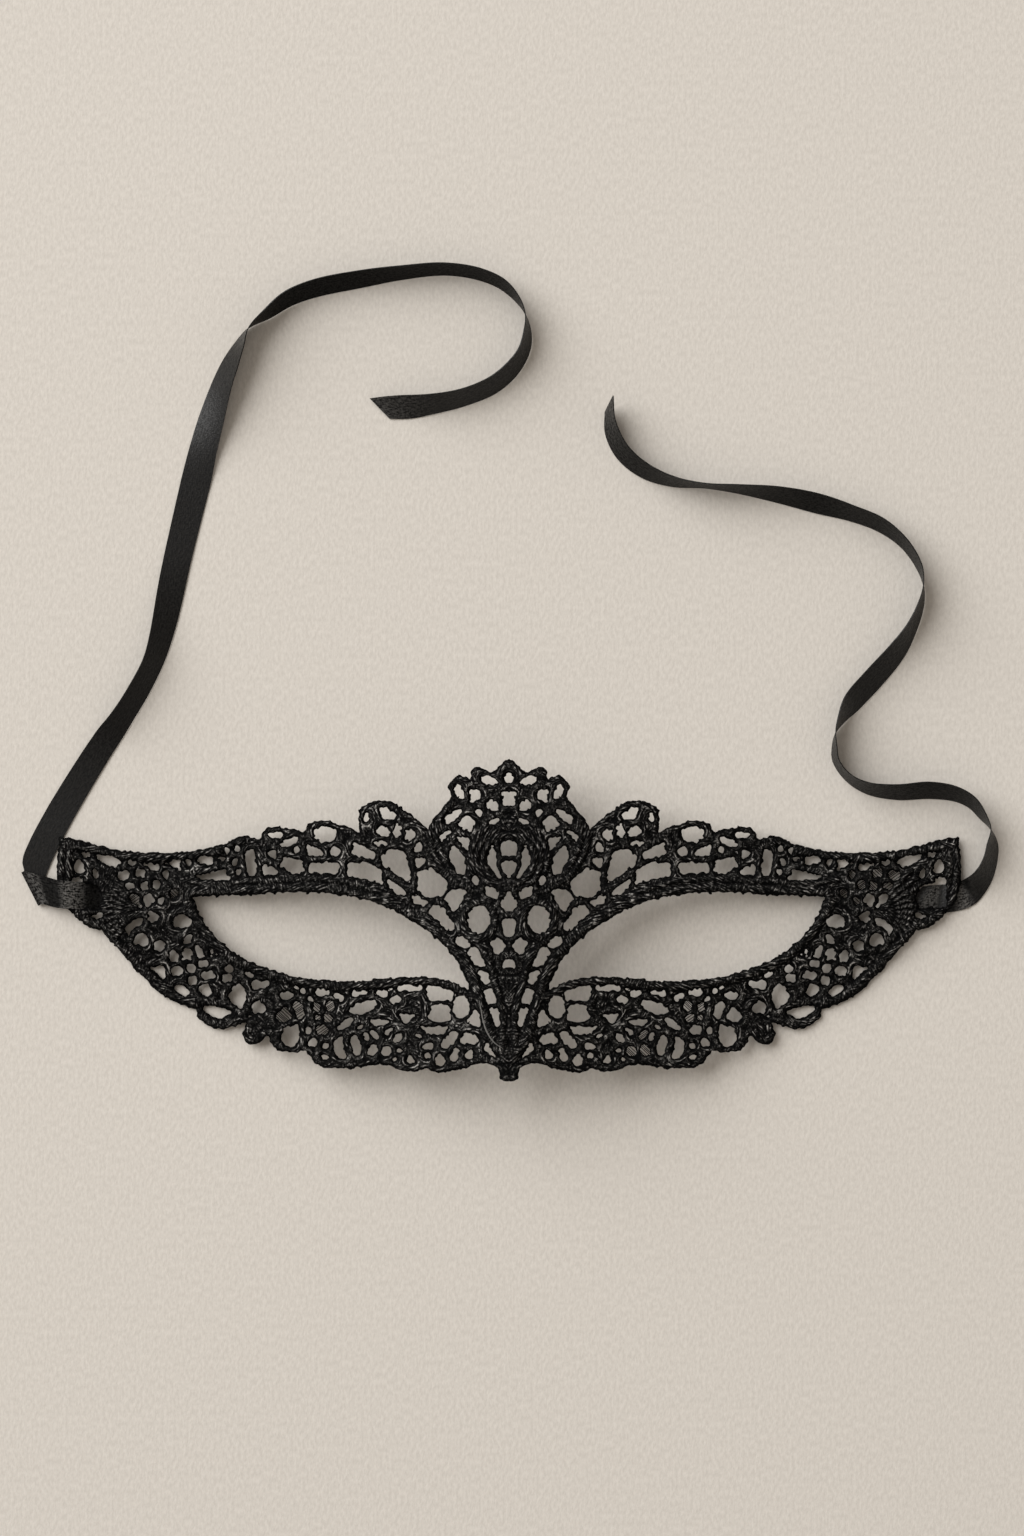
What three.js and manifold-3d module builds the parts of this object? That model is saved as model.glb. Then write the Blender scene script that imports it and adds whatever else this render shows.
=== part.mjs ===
// Lace masquerade mask, lying face up on a table: one piece of stiff corded lace
// and two satin ribbons. Millimetres, +Z up, +X to the viewer's right, +Y towards
// the brow. The origin is on the table, under the middle of the lace.
import * as THREE from 'three';
import { mergeVertices } from 'three/addons/utils/BufferGeometryUtils.js';
import Module from 'manifold-3d';

// Driving dimensions
const LACE_THICKNESS = 1.5;
const CORD_RISE = 0.5;
const ARCH_HEIGHT = 11;
const ARCH_FALL = 1.6;
const CHEEK_HALF_SPAN = 78;
const EYE_HALF_SPAN = 105;
const TEMPLE_HALF_SPAN = 84;
const CHEEK_EDGE = -24;
const CHEEK_TOP = -4;
const TEMPLE_BOTTOM = 8;
const TEMPLE_EDGE = 15;
const NOSE_RISE = 4;
const NOSE_HALF_WIDTH = 15;
const NOSE_TOP = 28;
const NOSE_FULL = -8;
const TAB_LIFT = 0.9;
const TAB_LIFT_START = 84;
const TAB_LIFT_END = 91;
const TAB_LIFT_FOOT = -12;
const TAB_LIFT_FULL = -3;
const RIBBON_WIDTH = 7.2;
const RIBBON_THICKNESS = 0.4;
const RIBBON_REST = 0.25;

// All flat positions below were read off a picture taken from straight above, from
// this height over this point, where whatever stands higher looks further out
const VIEW_HEIGHT = 900;
const VIEW_POINT = [0, 38];
// The height, in those readings, that the origin is moved to
const MIDDLE = 0.64;

// How finely the curves are cut into straight sides
const EDGE_STEP = 4;
const EYE_STEP = 5;
const CORD_STEP = 8;

const LACE_FINISH = { color: 0x1a1a1c, roughness: 0.85, metalness: 0 };
const RIBBON_FINISH = { color: 0x18181b, roughness: 0.4, metalness: 0 };

// The edge of one half, from the top of the crest out to the tab and back to the
// stem under the nose. Each run is one smooth curve between two notches or corners,
// given as [distance from the middle line, height].
const EDGE_RUNS = {
  crown: [[0, 40.4], [1.8, 39.3], [4.2, 37.1], [6.6, 37.8], [8.5, 38.3], [9.6, 37], [9.4, 35]],
  crestLobe: [[9.4, 35], [12.8, 36.2], [15, 33.8], [14.6, 30.2]],
  crestSide: [[14.6, 30.2], [16.9, 27.7], [18.9, 25.2], [20.3, 22.8]],
  bigLoop: [[20.3, 22.8], [25, 26.9], [31.3, 30], [37.2, 27.8], [37.4, 22]],
  middleLoop: [[37.4, 22], [41, 23.6], [47, 25], [50, 24], [51.3, 22]],
  smallLoop: [[51.3, 22], [55.5, 22.9], [59.8, 23.2], [61.7, 21.6], [62.1, 20.2]],
  templeTop: [[62.1, 20.2], [66.5, 21], [72, 18.9], [80, 17.1], [90, 16.9], [99.5, 17.9], [106, 19.6], [112.4, 20.8]],
  tabEnd: [[112.4, 20.8], [112.9, 15], [113, 11], [111.6, 4.5], [107.3, 0]],
  cheekEdge: [[107.3, 0], [105, -1.8], [102.2, -2.6], [98.7, -6.4], [90.3, -15.5], [85.5, -19.6], [78.4, -22.4]],
  cheekLoop: [[78.4, -22.4], [77.4, -24.9], [72.5, -27.3], [65.7, -25.8]],
  knob: [[65.7, -25.8], [66.5, -29], [64, -31.3], [60.5, -28.9]],
  lowerLoop: [[60.5, -28.9], [58.5, -32], [54.8, -33.2], [50.8, -32.8]],
  outerHem: [[50.8, -32.8], [47.5, -36.4], [40, -37.1], [32.3, -35.9]],
  middleHem: [[32.3, -35.9], [24.6, -37.8], [20.9, -37.1]],
  innerHem: [[20.9, -37.1], [17.2, -38.1], [11, -36.9], [6.7, -35.6]],
  stem: [[6.7, -35.6], [3, -37], [2, -39.4], [0, -40.4]],
};

// The two lids of the eye opening, from the temple to the nose and back
const UPPER_LID = [[78.8, 5.7], [70, 6], [55, 6.7], [46, 6.6], [38, 5.4], [31, 3.3], [24.5, -0.2],
  [18, -5], [12.7, -10.9], [9.6, -17.8]];
const LOWER_LID = [[9.6, -17.8], [14.5, -15.2], [22, -14], [32, -14.6], [39.5, -15.2], [48, -14.7],
  [56, -13.3], [68, -8.5], [76.8, 0.5], [78.8, 5.9]];

// The small openings of one half, by region, as distances from the middle line and
// heights. An oval has its centre, width and height, a slit has its two tips and its
// width, and a pane has its corners.
const OVALS = {
  tab: [[96.2, 11.2, 2.9, 2.5], [92.2, 11.7, 2.5, 2], [94.7, 8.5, 2.3, 1.9], [91.2, 8.6, 2.2, 2.2],
    [88.1, 8.9, 2, 2.4], [85.8, 11.3, 1.5, 2.2], [83.7, 6.5, 1.7, 2.3], [86.9, 4.9, 1.4, 1.7]],
  cheek: [[81.9, -0.5, 4.6, 3.5], [87.4, -6.5, 2.6, 2.7], [83, -12.8, 3, 2.4], [79.4, -12, 2, 2.1],
    [79, -15.1, 2.2, 2.2], [76.5, -11, 2.6, 1.7], [75.8, -17.5, 3.5, 2.7], [70, -12, 2.1, 1.6],
    [70.5, -14.6, 2.3, 2.2], [55.6, -18.8, 3.4, 2.3], [49.6, -19.6, 1.7, 1.3]],
  hem: [[48, -21.7, 2.1, 2.2], [44.7, -21.6, 2.4, 2.7], [47.9, -24.3, 1.6, 1.7], [45.3, -24.7, 2.3, 2.2],
    [46.6, -27.5, 3.2, 2.5], [50.1, -27.4, 1.3, 2.6], [49, -30.6, 2.5, 2.3], [45.9, -31.5, 1.9, 1.8],
    [37.1, -26.8, 1.8, 1.2], [27.4, -32.7, 1.5, 1.1], [20.5, -33.8, 2, 1.6], [17.2, -35.1, 2.4, 2.9],
    [12, -21.9, 4, 5.8]],
  brow: [[70.4, 17.1, 1.2, 1.9], [68.5, 14.5, 1.7, 1.9], [67.6, 11.9, 1.5, 1.7], [71.8, 15.2, 1.5, 1.6],
    [67.8, 18, 1.4, 2.1], [59.2, 16.4, 1.8, 2.3], [53, 17.6, 1.5, 1.7], [45.9, 21.4, 5.6, 4],
    [43.5, 17.1, 2.3, 2.5], [58.2, 21.2, 3.8, 1.3], [35.6, 25.5, 1, 2.3]],
  crest: [[7.5, 0.1, 5.6, 6.7]],
};
const SLITS = {
  tab: [[107.2, 16.7, 104.6, 16.1, 1], [95.2, 14.6, 93.4, 14.2, 0.9], [103.9, 12.6, 102.9, 10.5, 0.9],
    [104.6, 0.8, 101.6, 1.2, 1]],
  cheek: [[83.7, -16.4, 80.1, -18.6, 1.9], [66, -13.3, 64, -13.8, 0.9], [65.6, -23.8, 64, -24.1, 0.7]],
  hem: [[49.2, -18, 44.4, -18.4, 1.3], [43, -27.5, 38.9, -24.4, 1.5], [29.9, -20.5, 26.9, -19.3, 1.7],
    [39, -28.5, 37.6, -34.2, 2.1], [36.5, -28, 34.9, -30.2, 1.2], [34.6, -27.4, 32.6, -29.8, 1.5],
    [33.3, -31, 35.1, -34, 2.1], [26.6, -28.1, 28.8, -30.6, 1.4], [23.4, -28.8, 21.8, -29.2, 0.9],
    [21.7, -31.9, 18.8, -31.2, 1.5], [29, -35, 28, -34.9, 0.7], [12.9, -27.9, 16.8, -32.1, 2.1],
    [12.9, -32.2, 14.3, -35.4, 1.7], [47.5, -33.7, 45.2, -34.4, 1]],
  brow: [[57.1, 18.6, 52.5, 20.4, 1.3], [33.8, 19.2, 30.4, 19.1, 0.8]],
  crest: [[7.1, 35.5, 2.9, 34.2, 1.5], [13.2, 33.9, 11.6, 30.3, 1.6], [8.3, 27.6, 6.8, 26.1, 1],
    [16.5, 24.1, 11.9, 27.6, 1.5], [5, 24.2, 2.4, 25.2, 0.9], [14.1, 18.4, 11.3, 11.1, 2.7],
    [28.1, 20.4, 27.6, 24.3, 1.4], [8.9, 11.2, 7.7, 8.4, 1.1]],
  nose: [[13.2, -4.3, 10.2, -6.8, 1.8]],
};
const PANES = {
  tab: [
    [[103.6, 16.2], [98.5, 15.6], [96.5, 14.3], [98.9, 13.2], [101, 14.2]],
    [[91.4, 14.2], [87.2, 13.8], [88, 12.6], [89.2, 12.4]],
    [[86, 14.3], [82.3, 15.1], [82.2, 12.3], [84, 13.6]],
    [[80.7, 15.1], [79.1, 14.9], [80.2, 13.1]],
    [[108.7, 13.8], [107.5, 15], [106.5, 14], [106.1, 11.8], [108.7, 11.6]],
    [[109.3, 9.6], [105.6, 10.6], [103.2, 9.4], [101.8, 5.6], [102.6, 1.9], [105.6, 1.75], [109.2, 2]],
    [[91.3, 5.9], [89.9, 6.6], [88.6, 4.7], [90.6, 3.3]],
    [[94.7, 6.1], [92.5, 6.2], [91.8, 2.9], [93.7, 4.2]],
    [[90, 2.1], [87.2, 1.1], [88, -0.5], [90.1, -0.1]],
    [[93.8, 0.3], [91.4, 0.4], [91.6, -0.7], [93.4, -1.5], [95.2, -3.9], [95.8, -2.4]],
  ],
  cheek: [
    [[93, -3.7], [91.4, -3.3], [90.2, -4.9], [90.7, -6.5], [93.6, -6.1]],
    [[81, -4.4], [79.3, -3.4], [79.9, -6.1], [81.5, -6]],
    [[78.3, -6.6], [77.4, -6.5], [76, -9.4], [78, -9.2]],
    [[81.4, -7.2], [79.2, -7.4], [79.4, -10.1], [81.5, -10]],
    [[84.7, -7.9], [82.6, -7.8], [82.7, -10.1], [84.6, -10.4]],
    [[74.7, -7.1], [72.5, -8.8], [74.8, -8.9]],
    [[89.6, -11.7], [86.3, -11.6], [86.2, -15]],
    [[76.8, -13.5], [73.7, -12.2], [73.7, -14.6], [76.4, -14.9]],
    [[67.4, -15.6], [65.9, -17.6], [66, -20.6], [67.2, -22.2], [70.4, -19], [69, -17]],
    [[75, -21.4], [70.3, -22.3], [69.4, -23.2], [72, -24.6], [74.9, -23.9], [76.5, -22]],
    [[64.2, -15.4], [60.3, -15.3], [59.6, -16.5], [63.9, -17.4]],
    [[62.9, -20.1], [60.6, -21.9], [61.2, -23], [64.3, -23.4], [64.2, -21.6]],
    [[53.8, -16.6], [50.6, -17.4], [51.1, -18.6], [52.2, -18]],
    [[52.8, -20.3], [51.4, -21.7], [51.2, -23.8], [52.7, -24.9], [54.3, -21.1]],
    [[55.8, -21.7], [54.4, -23.9], [55.1, -25.2], [57.1, -25.6], [58.3, -24.8], [57.2, -22.4]],
    [[56.3, -27], [52.7, -26], [52.5, -30], [53.6, -31.6], [56, -31.4], [56.9, -29]],
  ],
  hem: [
    [[43.9, -30.3], [41.6, -29], [41.5, -31.5], [40.7, -34.3], [42.5, -34.6], [43.8, -32.6]],
    [[40, -18], [34.8, -17.7], [36.4, -18.8], [38.8, -19.1]],
    [[44, -18.9], [42.3, -18.1], [40.6, -19.6], [42, -20.4]],
    [[32.9, -17.7], [29, -17.2], [31.3, -19.5], [33.5, -18.4]],
    [[27.6, -16.5], [21.9, -16.5], [22, -17.7], [27.6, -17.6]],
    [[41, -23.4], [38, -20.9], [34, -19.9], [32.6, -21.2], [36.8, -23.9], [38.8, -23.2]],
    [[34.9, -25], [31.8, -24.6], [30, -25.5], [31.6, -26.3], [33.6, -26.4]],
    [[27.6, -23.3], [23.5, -23.8], [25.7, -26.2], [26.7, -25]],
    [[31.4, -27.3], [28.6, -26.9], [30.7, -29.2]],
    [[31.4, -31.8], [30.4, -31.4], [29.5, -32.4], [29.7, -34], [32.2, -34]],
    [[24.8, -33.3], [23.9, -34.5], [23.5, -35.6], [25, -36], [25.7, -35.3]],
    [[20.6, -16.7], [17.3, -16.9], [13.9, -18], [14.3, -20.1], [20.1, -20.1]],
    [[19.4, -21.4], [15, -21.4], [14.6, -24.9], [17.7, -25.5], [20.2, -24.7]],
    [[8.7, -22.3], [7.4, -24.2], [7.2, -26.7], [10.4, -25.3]],
    [[22.3, -26.6], [15, -26.8], [16.8, -28.4], [18.6, -28.7], [21, -28]],
    [[12.3, -30.4], [11, -28.3], [8.7, -28.5], [7.5, -30.2], [8.2, -31.1], [10.4, -30.9]],
    [[5.5, -30.9], [6.3, -32.6], [3.1, -34.4], [4.6, -32.3]],
    [[10.5, -33], [9.3, -32.3], [8.8, -33.4], [9.6, -34.6], [10.9, -34.6]],
  ],
  brow: [
    [[39.2, 16.3], [38.7, 19.3], [33.7, 16.8], [33.7, 15.3]],
    [[40.4, 14.2], [35.5, 14.3], [31.6, 11.9], [31.6, 9.1], [36, 10.3], [40.6, 11.2]],
    [[50.4, 18.7], [50.4, 16.1], [46.6, 16.1], [46.6, 17.2]],
    [[50, 14.3], [42.6, 14.3], [42.8, 12], [44.3, 11.6], [50, 11.9]],
    [[57, 14], [56, 15.8], [51.6, 14.5], [51.3, 11.8], [53.8, 11.7], [57, 13.4]],
    [[61.8, 11.4], [61.3, 14], [57.8, 12.3], [57.7, 11.6]],
    [[65.3, 17.6], [64, 17.8], [63.3, 14.5], [63.4, 11.2], [65, 10.9], [65.9, 16]],
    [[76.9, 15.9], [73.9, 15.6], [74.3, 13.9], [77.3, 13.9], [77.8, 14.9]],
    [[78.2, 10.9], [73.7, 12.1], [71, 12.5], [69.8, 10.2], [76.7, 10.3]],
  ],
  crest: [
    [[9.7, 32.9], [6.9, 31.8], [6.9, 30.9], [9.6, 29.3]],
    [[4.6, 30.1], [3.2, 29.6], [2.7, 27.4], [4.8, 27.4], [5.6, 28.7]],
    [[12.7, 23.9], [10.1, 26.2], [8.4, 24.4], [9.6, 22.2], [11.6, 22.9]],
    [[17.3, 21.5], [14.2, 22.1], [16.2, 20.7], [16.9, 19]],
    [[13, 20.7], [10, 20.4], [10.3, 17.3]],
    [[4.1, 18.7], [5.3, 15.5], [4.6, 12.8], [1.9, 10.4], [3.2, 13.5], [3.3, 16]],
    [[5.9, 8.5], [2.6, 6.9], [3, 5.1], [5.4, 6.3]],
    [[14.6, 8], [10.8, 7.1], [11.8, 5.3], [13.7, 2], [16.1, 5]],
    [[22.6, 12], [19.5, 12.9], [15.6, 9.6], [15.8, 7.1], [18, 5.6], [21, 5.8], [23, 8]],
    [[18.7, 3.9], [16.5, 2.8], [13.6, -1.6], [14.3, -3.3], [16.5, -1.2], [19.9, 1.9]],
    [[24.1, 6.5], [23.9, 4.6], [20.9, 3.1], [20, 4.5]],
    [[30.5, 10.4], [30, 8.4], [28, 6.5], [25.4, 6.3], [28.5, 9.2]],
    [[31.8, 16], [30.2, 17.4], [27.3, 17.6], [25.6, 15.6], [24.7, 12], [24.7, 9.1], [28.5, 12], [31.4, 13.7]],
    [[24.1, 17.3], [22.5, 19.5], [21.6, 17.1]],
    [[23.5, 15.3], [21, 15.2], [21.2, 13.6], [22.9, 12.9]],
    [[25.6, 22.8], [24.2, 22.3], [23.5, 21.3], [25.3, 19.7], [26, 20.6]],
    [[33.3, 21.9], [32.5, 23.5], [29.9, 22.8], [29.9, 21.3], [32, 21.1]],
    [[32, 28], [31, 28.2], [27.9, 26.2], [29.3, 25.1], [31.8, 25.5]],
  ],
  nose: [
    [[10.3, -7.8], [8.6, -6.2], [5.9, -11.5], [8.2, -11.6]],
    [[7.5, -13], [5.5, -12.8], [4.7, -15.4], [6.4, -16.4]],
    [[6.1, -17.7], [4.3, -17], [3.2, -20.3], [4.4, -21.5], [5.5, -20.8]],
    [[4.8, -22.3], [2.8, -22.1], [2.3, -25.5], [3, -27.1], [3.7, -26]],
    [[5.1, -5.8], [2.8, -4.3], [0.5, -6.3], [3.1, -8.7]],
  ],
};
// Openings on the middle line, each given by the corners of its one half
const MIDDLE_OPENINGS = [
  [[0, 36.8], [1.2, 36], [1.2, 35], [0, 34.3]],
  [[1.5, 31.8], [1.6, 28.5]],
  [[0, 20], [1.5, 19.6], [2, 18.6], [1.8, 16.1]],
  [[1.8, 14.6], [1.5, 12.8], [0.4, 10.6]],
  [[0, 7], [2.1, 4.6], [1.3, 2.5], [0, 2.1]],
  [[0, 0.6], [1.5, -0.1], [1.8, -2], [1.3, -3.8], [0, -4.1]],
  [[0, -9.7], [1.2, -10.3], [1.5, -11.9], [0, -11.3]],
];

// Raised cords of one half: width, then the middle line of the cord
const CORDS = {
  upperLidCord: [2.8, [[80.4, 4], [79.4, 6.8], [70, 7.2], [62, 7.6], [55, 7.9], [46, 7.8], [38.3, 6.6],
    [31, 4.6], [24, 1.1], [17.3, -3.8], [11.6, -9.9], [8.5, -16], [6.6, -23], [4.2, -29.5], [0.8, -34.5]]],
  lowerLidCord: [2.8, [[9.2, -19.4], [14.2, -16.4], [22, -15.2], [32, -15.8], [39.5, -16.4], [48, -15.9],
    [56.5, -14.5], [68.6, -9.6], [77.9, -0.2], [80.4, 4]]],
  browCord: [1.6, [[82, 10], [74, 9.4], [62, 9.9], [52, 10.3], [46, 10.2], [39, 9.2], [32.6, 7], [26, 3.4],
    [20, -0.9], [15.6, -4.9]]],
  crestCord: [1.5, [[16, 29], [19, 25], [19.7, 21], [18.7, 16.5], [16.4, 12.6], [13.4, 9.6], [9.8, 7.6]]],
  noseCord: [1.8, [[10.4, -4.6], [6.6, -7.4], [4.7, -11], [3.6, -15], [2.5, -20], [1.8, -26], [1.5, -31]]],
};
// Rings of raised cord around the bud on the middle line
const BUD = { x: 0, y: 15.2, cord: 1.5, radii: [[6.5, 6.3], [8.3, 8.2]], sides: 20 };

// The ribbons, from the sewn end to the free end. Each line is one straight line
// across the ribbon: the two ends of it as seen from above (x, y, x, y), how much of
// its missing width is taken as lean (0 flat, 1 the first edge up, -1 the second),
// and, where it isn't on the table, the height of its lower edge.
const RIBBONS = {
  ribbon_left: [
    [-97.5, 2.1, -97.5, 9, 0],
    [-103, 2.3, -103, 9.2, 0],
    [-105.8, 2.6, -105.8, 9.5, 0, 1.35],
    [-108.7, 2.7, -109, 9.6, 0, 3],
    [-112.2, 3, -112.8, 9.95, 0, 3],
    [-117.1, 3.9, -121.3, 12.2, 0, 1.25],
    [-117.6, 3.6, -121.8, 11.9, 0, 0.75],
    [-117.1, 3.9, -121.3, 12.2, 0],
    [-116.3, 9.6, -121.6, 14.8, 0],
    [-113.9, 15.6, -120.1, 19.2, 0],
    [-109, 25, -115.1, 28.6, 0],
    [-99.2, 41.6, -104.2, 45.7, -0.5],
    [-94.9, 48.4, -99.4, 51.8, -1],
    [-90.3, 56.1, -94.9, 58.7, -1],
    [-86.6, 63.6, -91.4, 65.5, -1],
    [-84.1, 70.6, -89.7, 72, -0.9],
    [-79.7, 88.7, -86.5, 90, -0.3],
    [-74.7, 108.5, -82, 110, 0],
    [-72.8, 118.2, -79.3, 120, 0.6],
    [-69.4, 133.1, -73.9, 135, 1],
    [-67.8, 138.3, -71.4, 140, 1],
    [-66.3, 143.6, -68.3, 144.5, 1],
    [-65.2, 147.9, -65.2, 147.9, 1],
    [-61.5, 152.3, -59.7, 150.5, 1],
    [-56.3, 157, -54.3, 153.6, 1],
    [-49, 160.1, -47.9, 155.8, 1],
    [-38, 162.3, -37.3, 158, 1],
    [-27, 163.6, -26.6, 160.1, 1],
    [-16, 164.3, -16, 161.2, 1],
    [-7, 162.9, -8, 160.1, 1],
    [-0.8, 159.9, -2.4, 157.9, 1],
    [2.9, 155.2, 1.9, 154.4, 1],
    [4.1, 151.4, 4.1, 151.4, 1],
    [3.8, 147.8, 5.5, 147.2, 1],
    [2.5, 143.2, 5.25, 142.3, 1],
    [-0.6, 139.2, 2.2, 136.5, 1],
    [-5, 135.7, -3.1, 131.8, 1],
    [-12, 132.8, -10.8, 128.6, 1],
    [-21, 131.4, -20.3, 126.2, 1],
    [-34.8, 130.4, -29.8, 125.3, 1],
  ],
  ribbon_right: [
    [103.4, 8.3, 98, 2.6, 0],
    [107.5, 8.8, 105.3, 1.8, 0],
    [111, 9.05, 112, 2.25, 0],
    [112.9, 9.6, 115.6, 3.5, 0],
    [114.9, 10.7, 118.8, 6.6, 0.8],
    [116.9, 12.5, 120.9, 10.3, 1],
    [118.6, 15.4, 122, 14.6, 1],
    [119.5, 18.8, 122.2, 18.8, 1],
    [120.5, 22.6, 120.5, 22.6, 1],
    [119.5, 26, 117.8, 25.3, 1],
    [116.8, 30.4, 115, 28.1, 1],
    [112.3, 33.2, 111.4, 29.7, 1],
    [105.5, 34.5, 105.3, 30.35, 1],
    [97, 33.85, 97, 30.1, 1],
    [90, 34.35, 89.3, 31.6, 1],
    [85.6, 36.3, 84.2, 34.9, 1],
    [82.6, 39.9, 81, 39.6, 1],
    [82, 43.4, 80.8, 43.3, 1],
    [81.7, 46.8, 81.7, 46.8, 1],
    [82.2, 50.4, 84, 49.6, 1],
    [84.1, 56.1, 87.6, 52.8, 1],
    [89.4, 62.4, 93, 58.5, 1],
    [95, 68.4, 98.6, 65.5, 1],
    [99.3, 73.6, 101.7, 71.9, 1],
    [102.2, 79, 103.7, 78.7, 1],
    [103.6, 83.6, 103.6, 83.6, 1],
    [103.3, 88.6, 101.8, 88.1, 1],
    [99.9, 94.8, 98, 93.2, 1],
    [94, 100.2, 92.4, 97.1, 1],
    [86.5, 103.5, 85.1, 99.8, 1],
    [77.5, 106.6, 76.4, 101.8, 1],
    [68, 108.3, 67.2, 104.3, 1],
    [58, 108.85, 57.7, 106.55, 1],
    [49, 109.2, 49, 107.95, 1],
    [41.5, 110.8, 40.6, 108.4, 1],
    [35, 113.9, 33, 110.7, 1],
    [30.2, 118, 27, 115.5, 1],
    [27.6, 122.3, 24.1, 121.5, 1],
    [26.3, 126.6, 24, 126.4, 1],
    [26.05, 131.1, 24.2, 127.4, 1],
  ],
};

const mirrored = ([x, y]) => [-x, y];

// Points along a smooth curve through the given ones, about a step apart
function smooth(points, step) {
  const curve = new THREE.CatmullRomCurve3(points.map(([x, y]) => new THREE.Vector3(x, y, 0)), false, 'centripetal');
  const count = Math.max(2, Math.round(curve.getLength() / step));
  return curve.getSpacedPoints(count).map((p) => [p.x, p.y]);
}

// One closed loop of curves: the last point of each is the first of the next
function chain(runs, step) {
  return runs.flatMap((run) => smooth(run, step).slice(0, -1));
}

function oval([x, y, width, height]) {
  const sides = THREE.MathUtils.clamp(Math.round((width + height) / 1.9) + 2, 4, 9);
  const grow = 1 / Math.sqrt(Math.cos(Math.PI / sides));
  return Array.from({ length: sides }, (_, i) => {
    const angle = (2 * Math.PI * (i + 0.5)) / sides;
    return [x + (width / 2) * grow * Math.cos(angle), y + (height / 2) * grow * Math.sin(angle)];
  });
}

function slit([x1, y1, x2, y2, width]) {
  const length = Math.hypot(x2 - x1, y2 - y1);
  const [ux, uy] = [(x2 - x1) / length, (y2 - y1) / length];
  const at = (along, side) => [x1 + ux * length * along - uy * side, y1 + uy * length * along + ux * side];
  if (length < 3 || width < 1.1) {
    return [at(0.12, width / 2), at(0.88, width / 2), at(0.88, -width / 2), at(0.12, -width / 2)];
  }
  return [at(0, 0), at(0.24, width / 2), at(0.76, width / 2), at(1, 0), at(0.76, -width / 2), at(0.24, -width / 2)];
}

function closedOnMiddle(half) {
  return [...half, ...half.filter(([x]) => x > 0).map(mirrored).reverse()];
}

function toShape(points) {
  return new THREE.Shape(points.map(([x, y]) => new THREE.Vector2(x, y)));
}

// The flat outline of the lace, counterclockwise from the top of the crest
function laceOutline() {
  const half = chain(Object.values(EDGE_RUNS), EDGE_STEP);
  const foot = EDGE_RUNS.stem.at(-1);
  return toShape([...half.slice(1).map(mirrored), foot, ...half.reverse()]);
}

// Every opening in the lace, as a flat shape
function openingShapes() {
  const half = [
    chain([UPPER_LID, LOWER_LID], EYE_STEP),
    ...Object.values(OVALS).flat().map(oval),
    ...Object.values(SLITS).flat().map(slit),
    ...Object.values(PANES).flat(),
  ];
  const otherHalf = half.map((points) => points.map(mirrored));
  return [...half, ...otherHalf, ...MIDDLE_OPENINGS.map(closedOnMiddle)].map(toShape);
}

function extruded(shape, depth) {
  return new THREE.ExtrudeGeometry(shape, { depth, bevelEnabled: false, curveSegments: 1 });
}

// A flat strip of one width along an open line of points
function stripShape(points, width) {
  const sides = [1, -1].map((side) => points.map((p, i) => {
    const before = points[Math.max(i - 1, 0)];
    const after = points[Math.min(i + 1, points.length - 1)];
    const length = Math.hypot(after[0] - before[0], after[1] - before[1]);
    const reach = (side * width) / 2 / length;
    return new THREE.Vector2(p[0] - (after[1] - before[1]) * reach, p[1] + (after[0] - before[0]) * reach);
  }));
  return new THREE.Shape([...sides[0], ...sides[1].reverse()]);
}

function ringShape({ x, y, cord, sides }, [rx, ry]) {
  const ring = (grow) => Array.from({ length: sides }, (_, i) => {
    const angle = (2 * Math.PI * (i + 0.5)) / sides;
    return new THREE.Vector2(x + (rx + grow) * Math.cos(angle), y + (ry + grow) * Math.sin(angle));
  });
  const shape = new THREE.Shape(ring(cord / 2));
  shape.holes.push(new THREE.Path(ring(-cord / 2)));
  return shape;
}

// Raised cords as flat prisms from inside the lace to above its face
function cordPrisms() {
  const shapes = [];
  for (const [width, line] of Object.values(CORDS)) {
    const points = smooth(line, CORD_STEP);
    shapes.push(stripShape(points, width), stripShape(points.map(mirrored), width));
  }
  for (const radii of BUD.radii) shapes.push(ringShape(BUD, radii));
  return shapes.map((shape) => extruded(shape, LACE_THICKNESS + CORD_RISE));
}

const wasm = await Module();
wasm.setup();

function toSolid(geometry) {
  const bare = geometry.clone();
  bare.deleteAttribute('normal');
  bare.deleteAttribute('uv');
  const merged = mergeVertices(bare, 1e-4);
  return new wasm.Manifold(new wasm.Mesh({
    numProp: 3,
    vertProperties: new Float32Array(merged.attributes.position.array),
    triVerts: new Uint32Array(merged.index.array),
  }));
}

function toGeometry(solid) {
  const mesh = solid.getMesh();
  const geometry = new THREE.BufferGeometry();
  geometry.setAttribute('position', new THREE.BufferAttribute(new Float32Array(mesh.vertProperties), 3));
  geometry.setIndex(new THREE.BufferAttribute(new Uint32Array(mesh.triVerts), 1));
  geometry.computeVertexNormals();
  return geometry;
}

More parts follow.
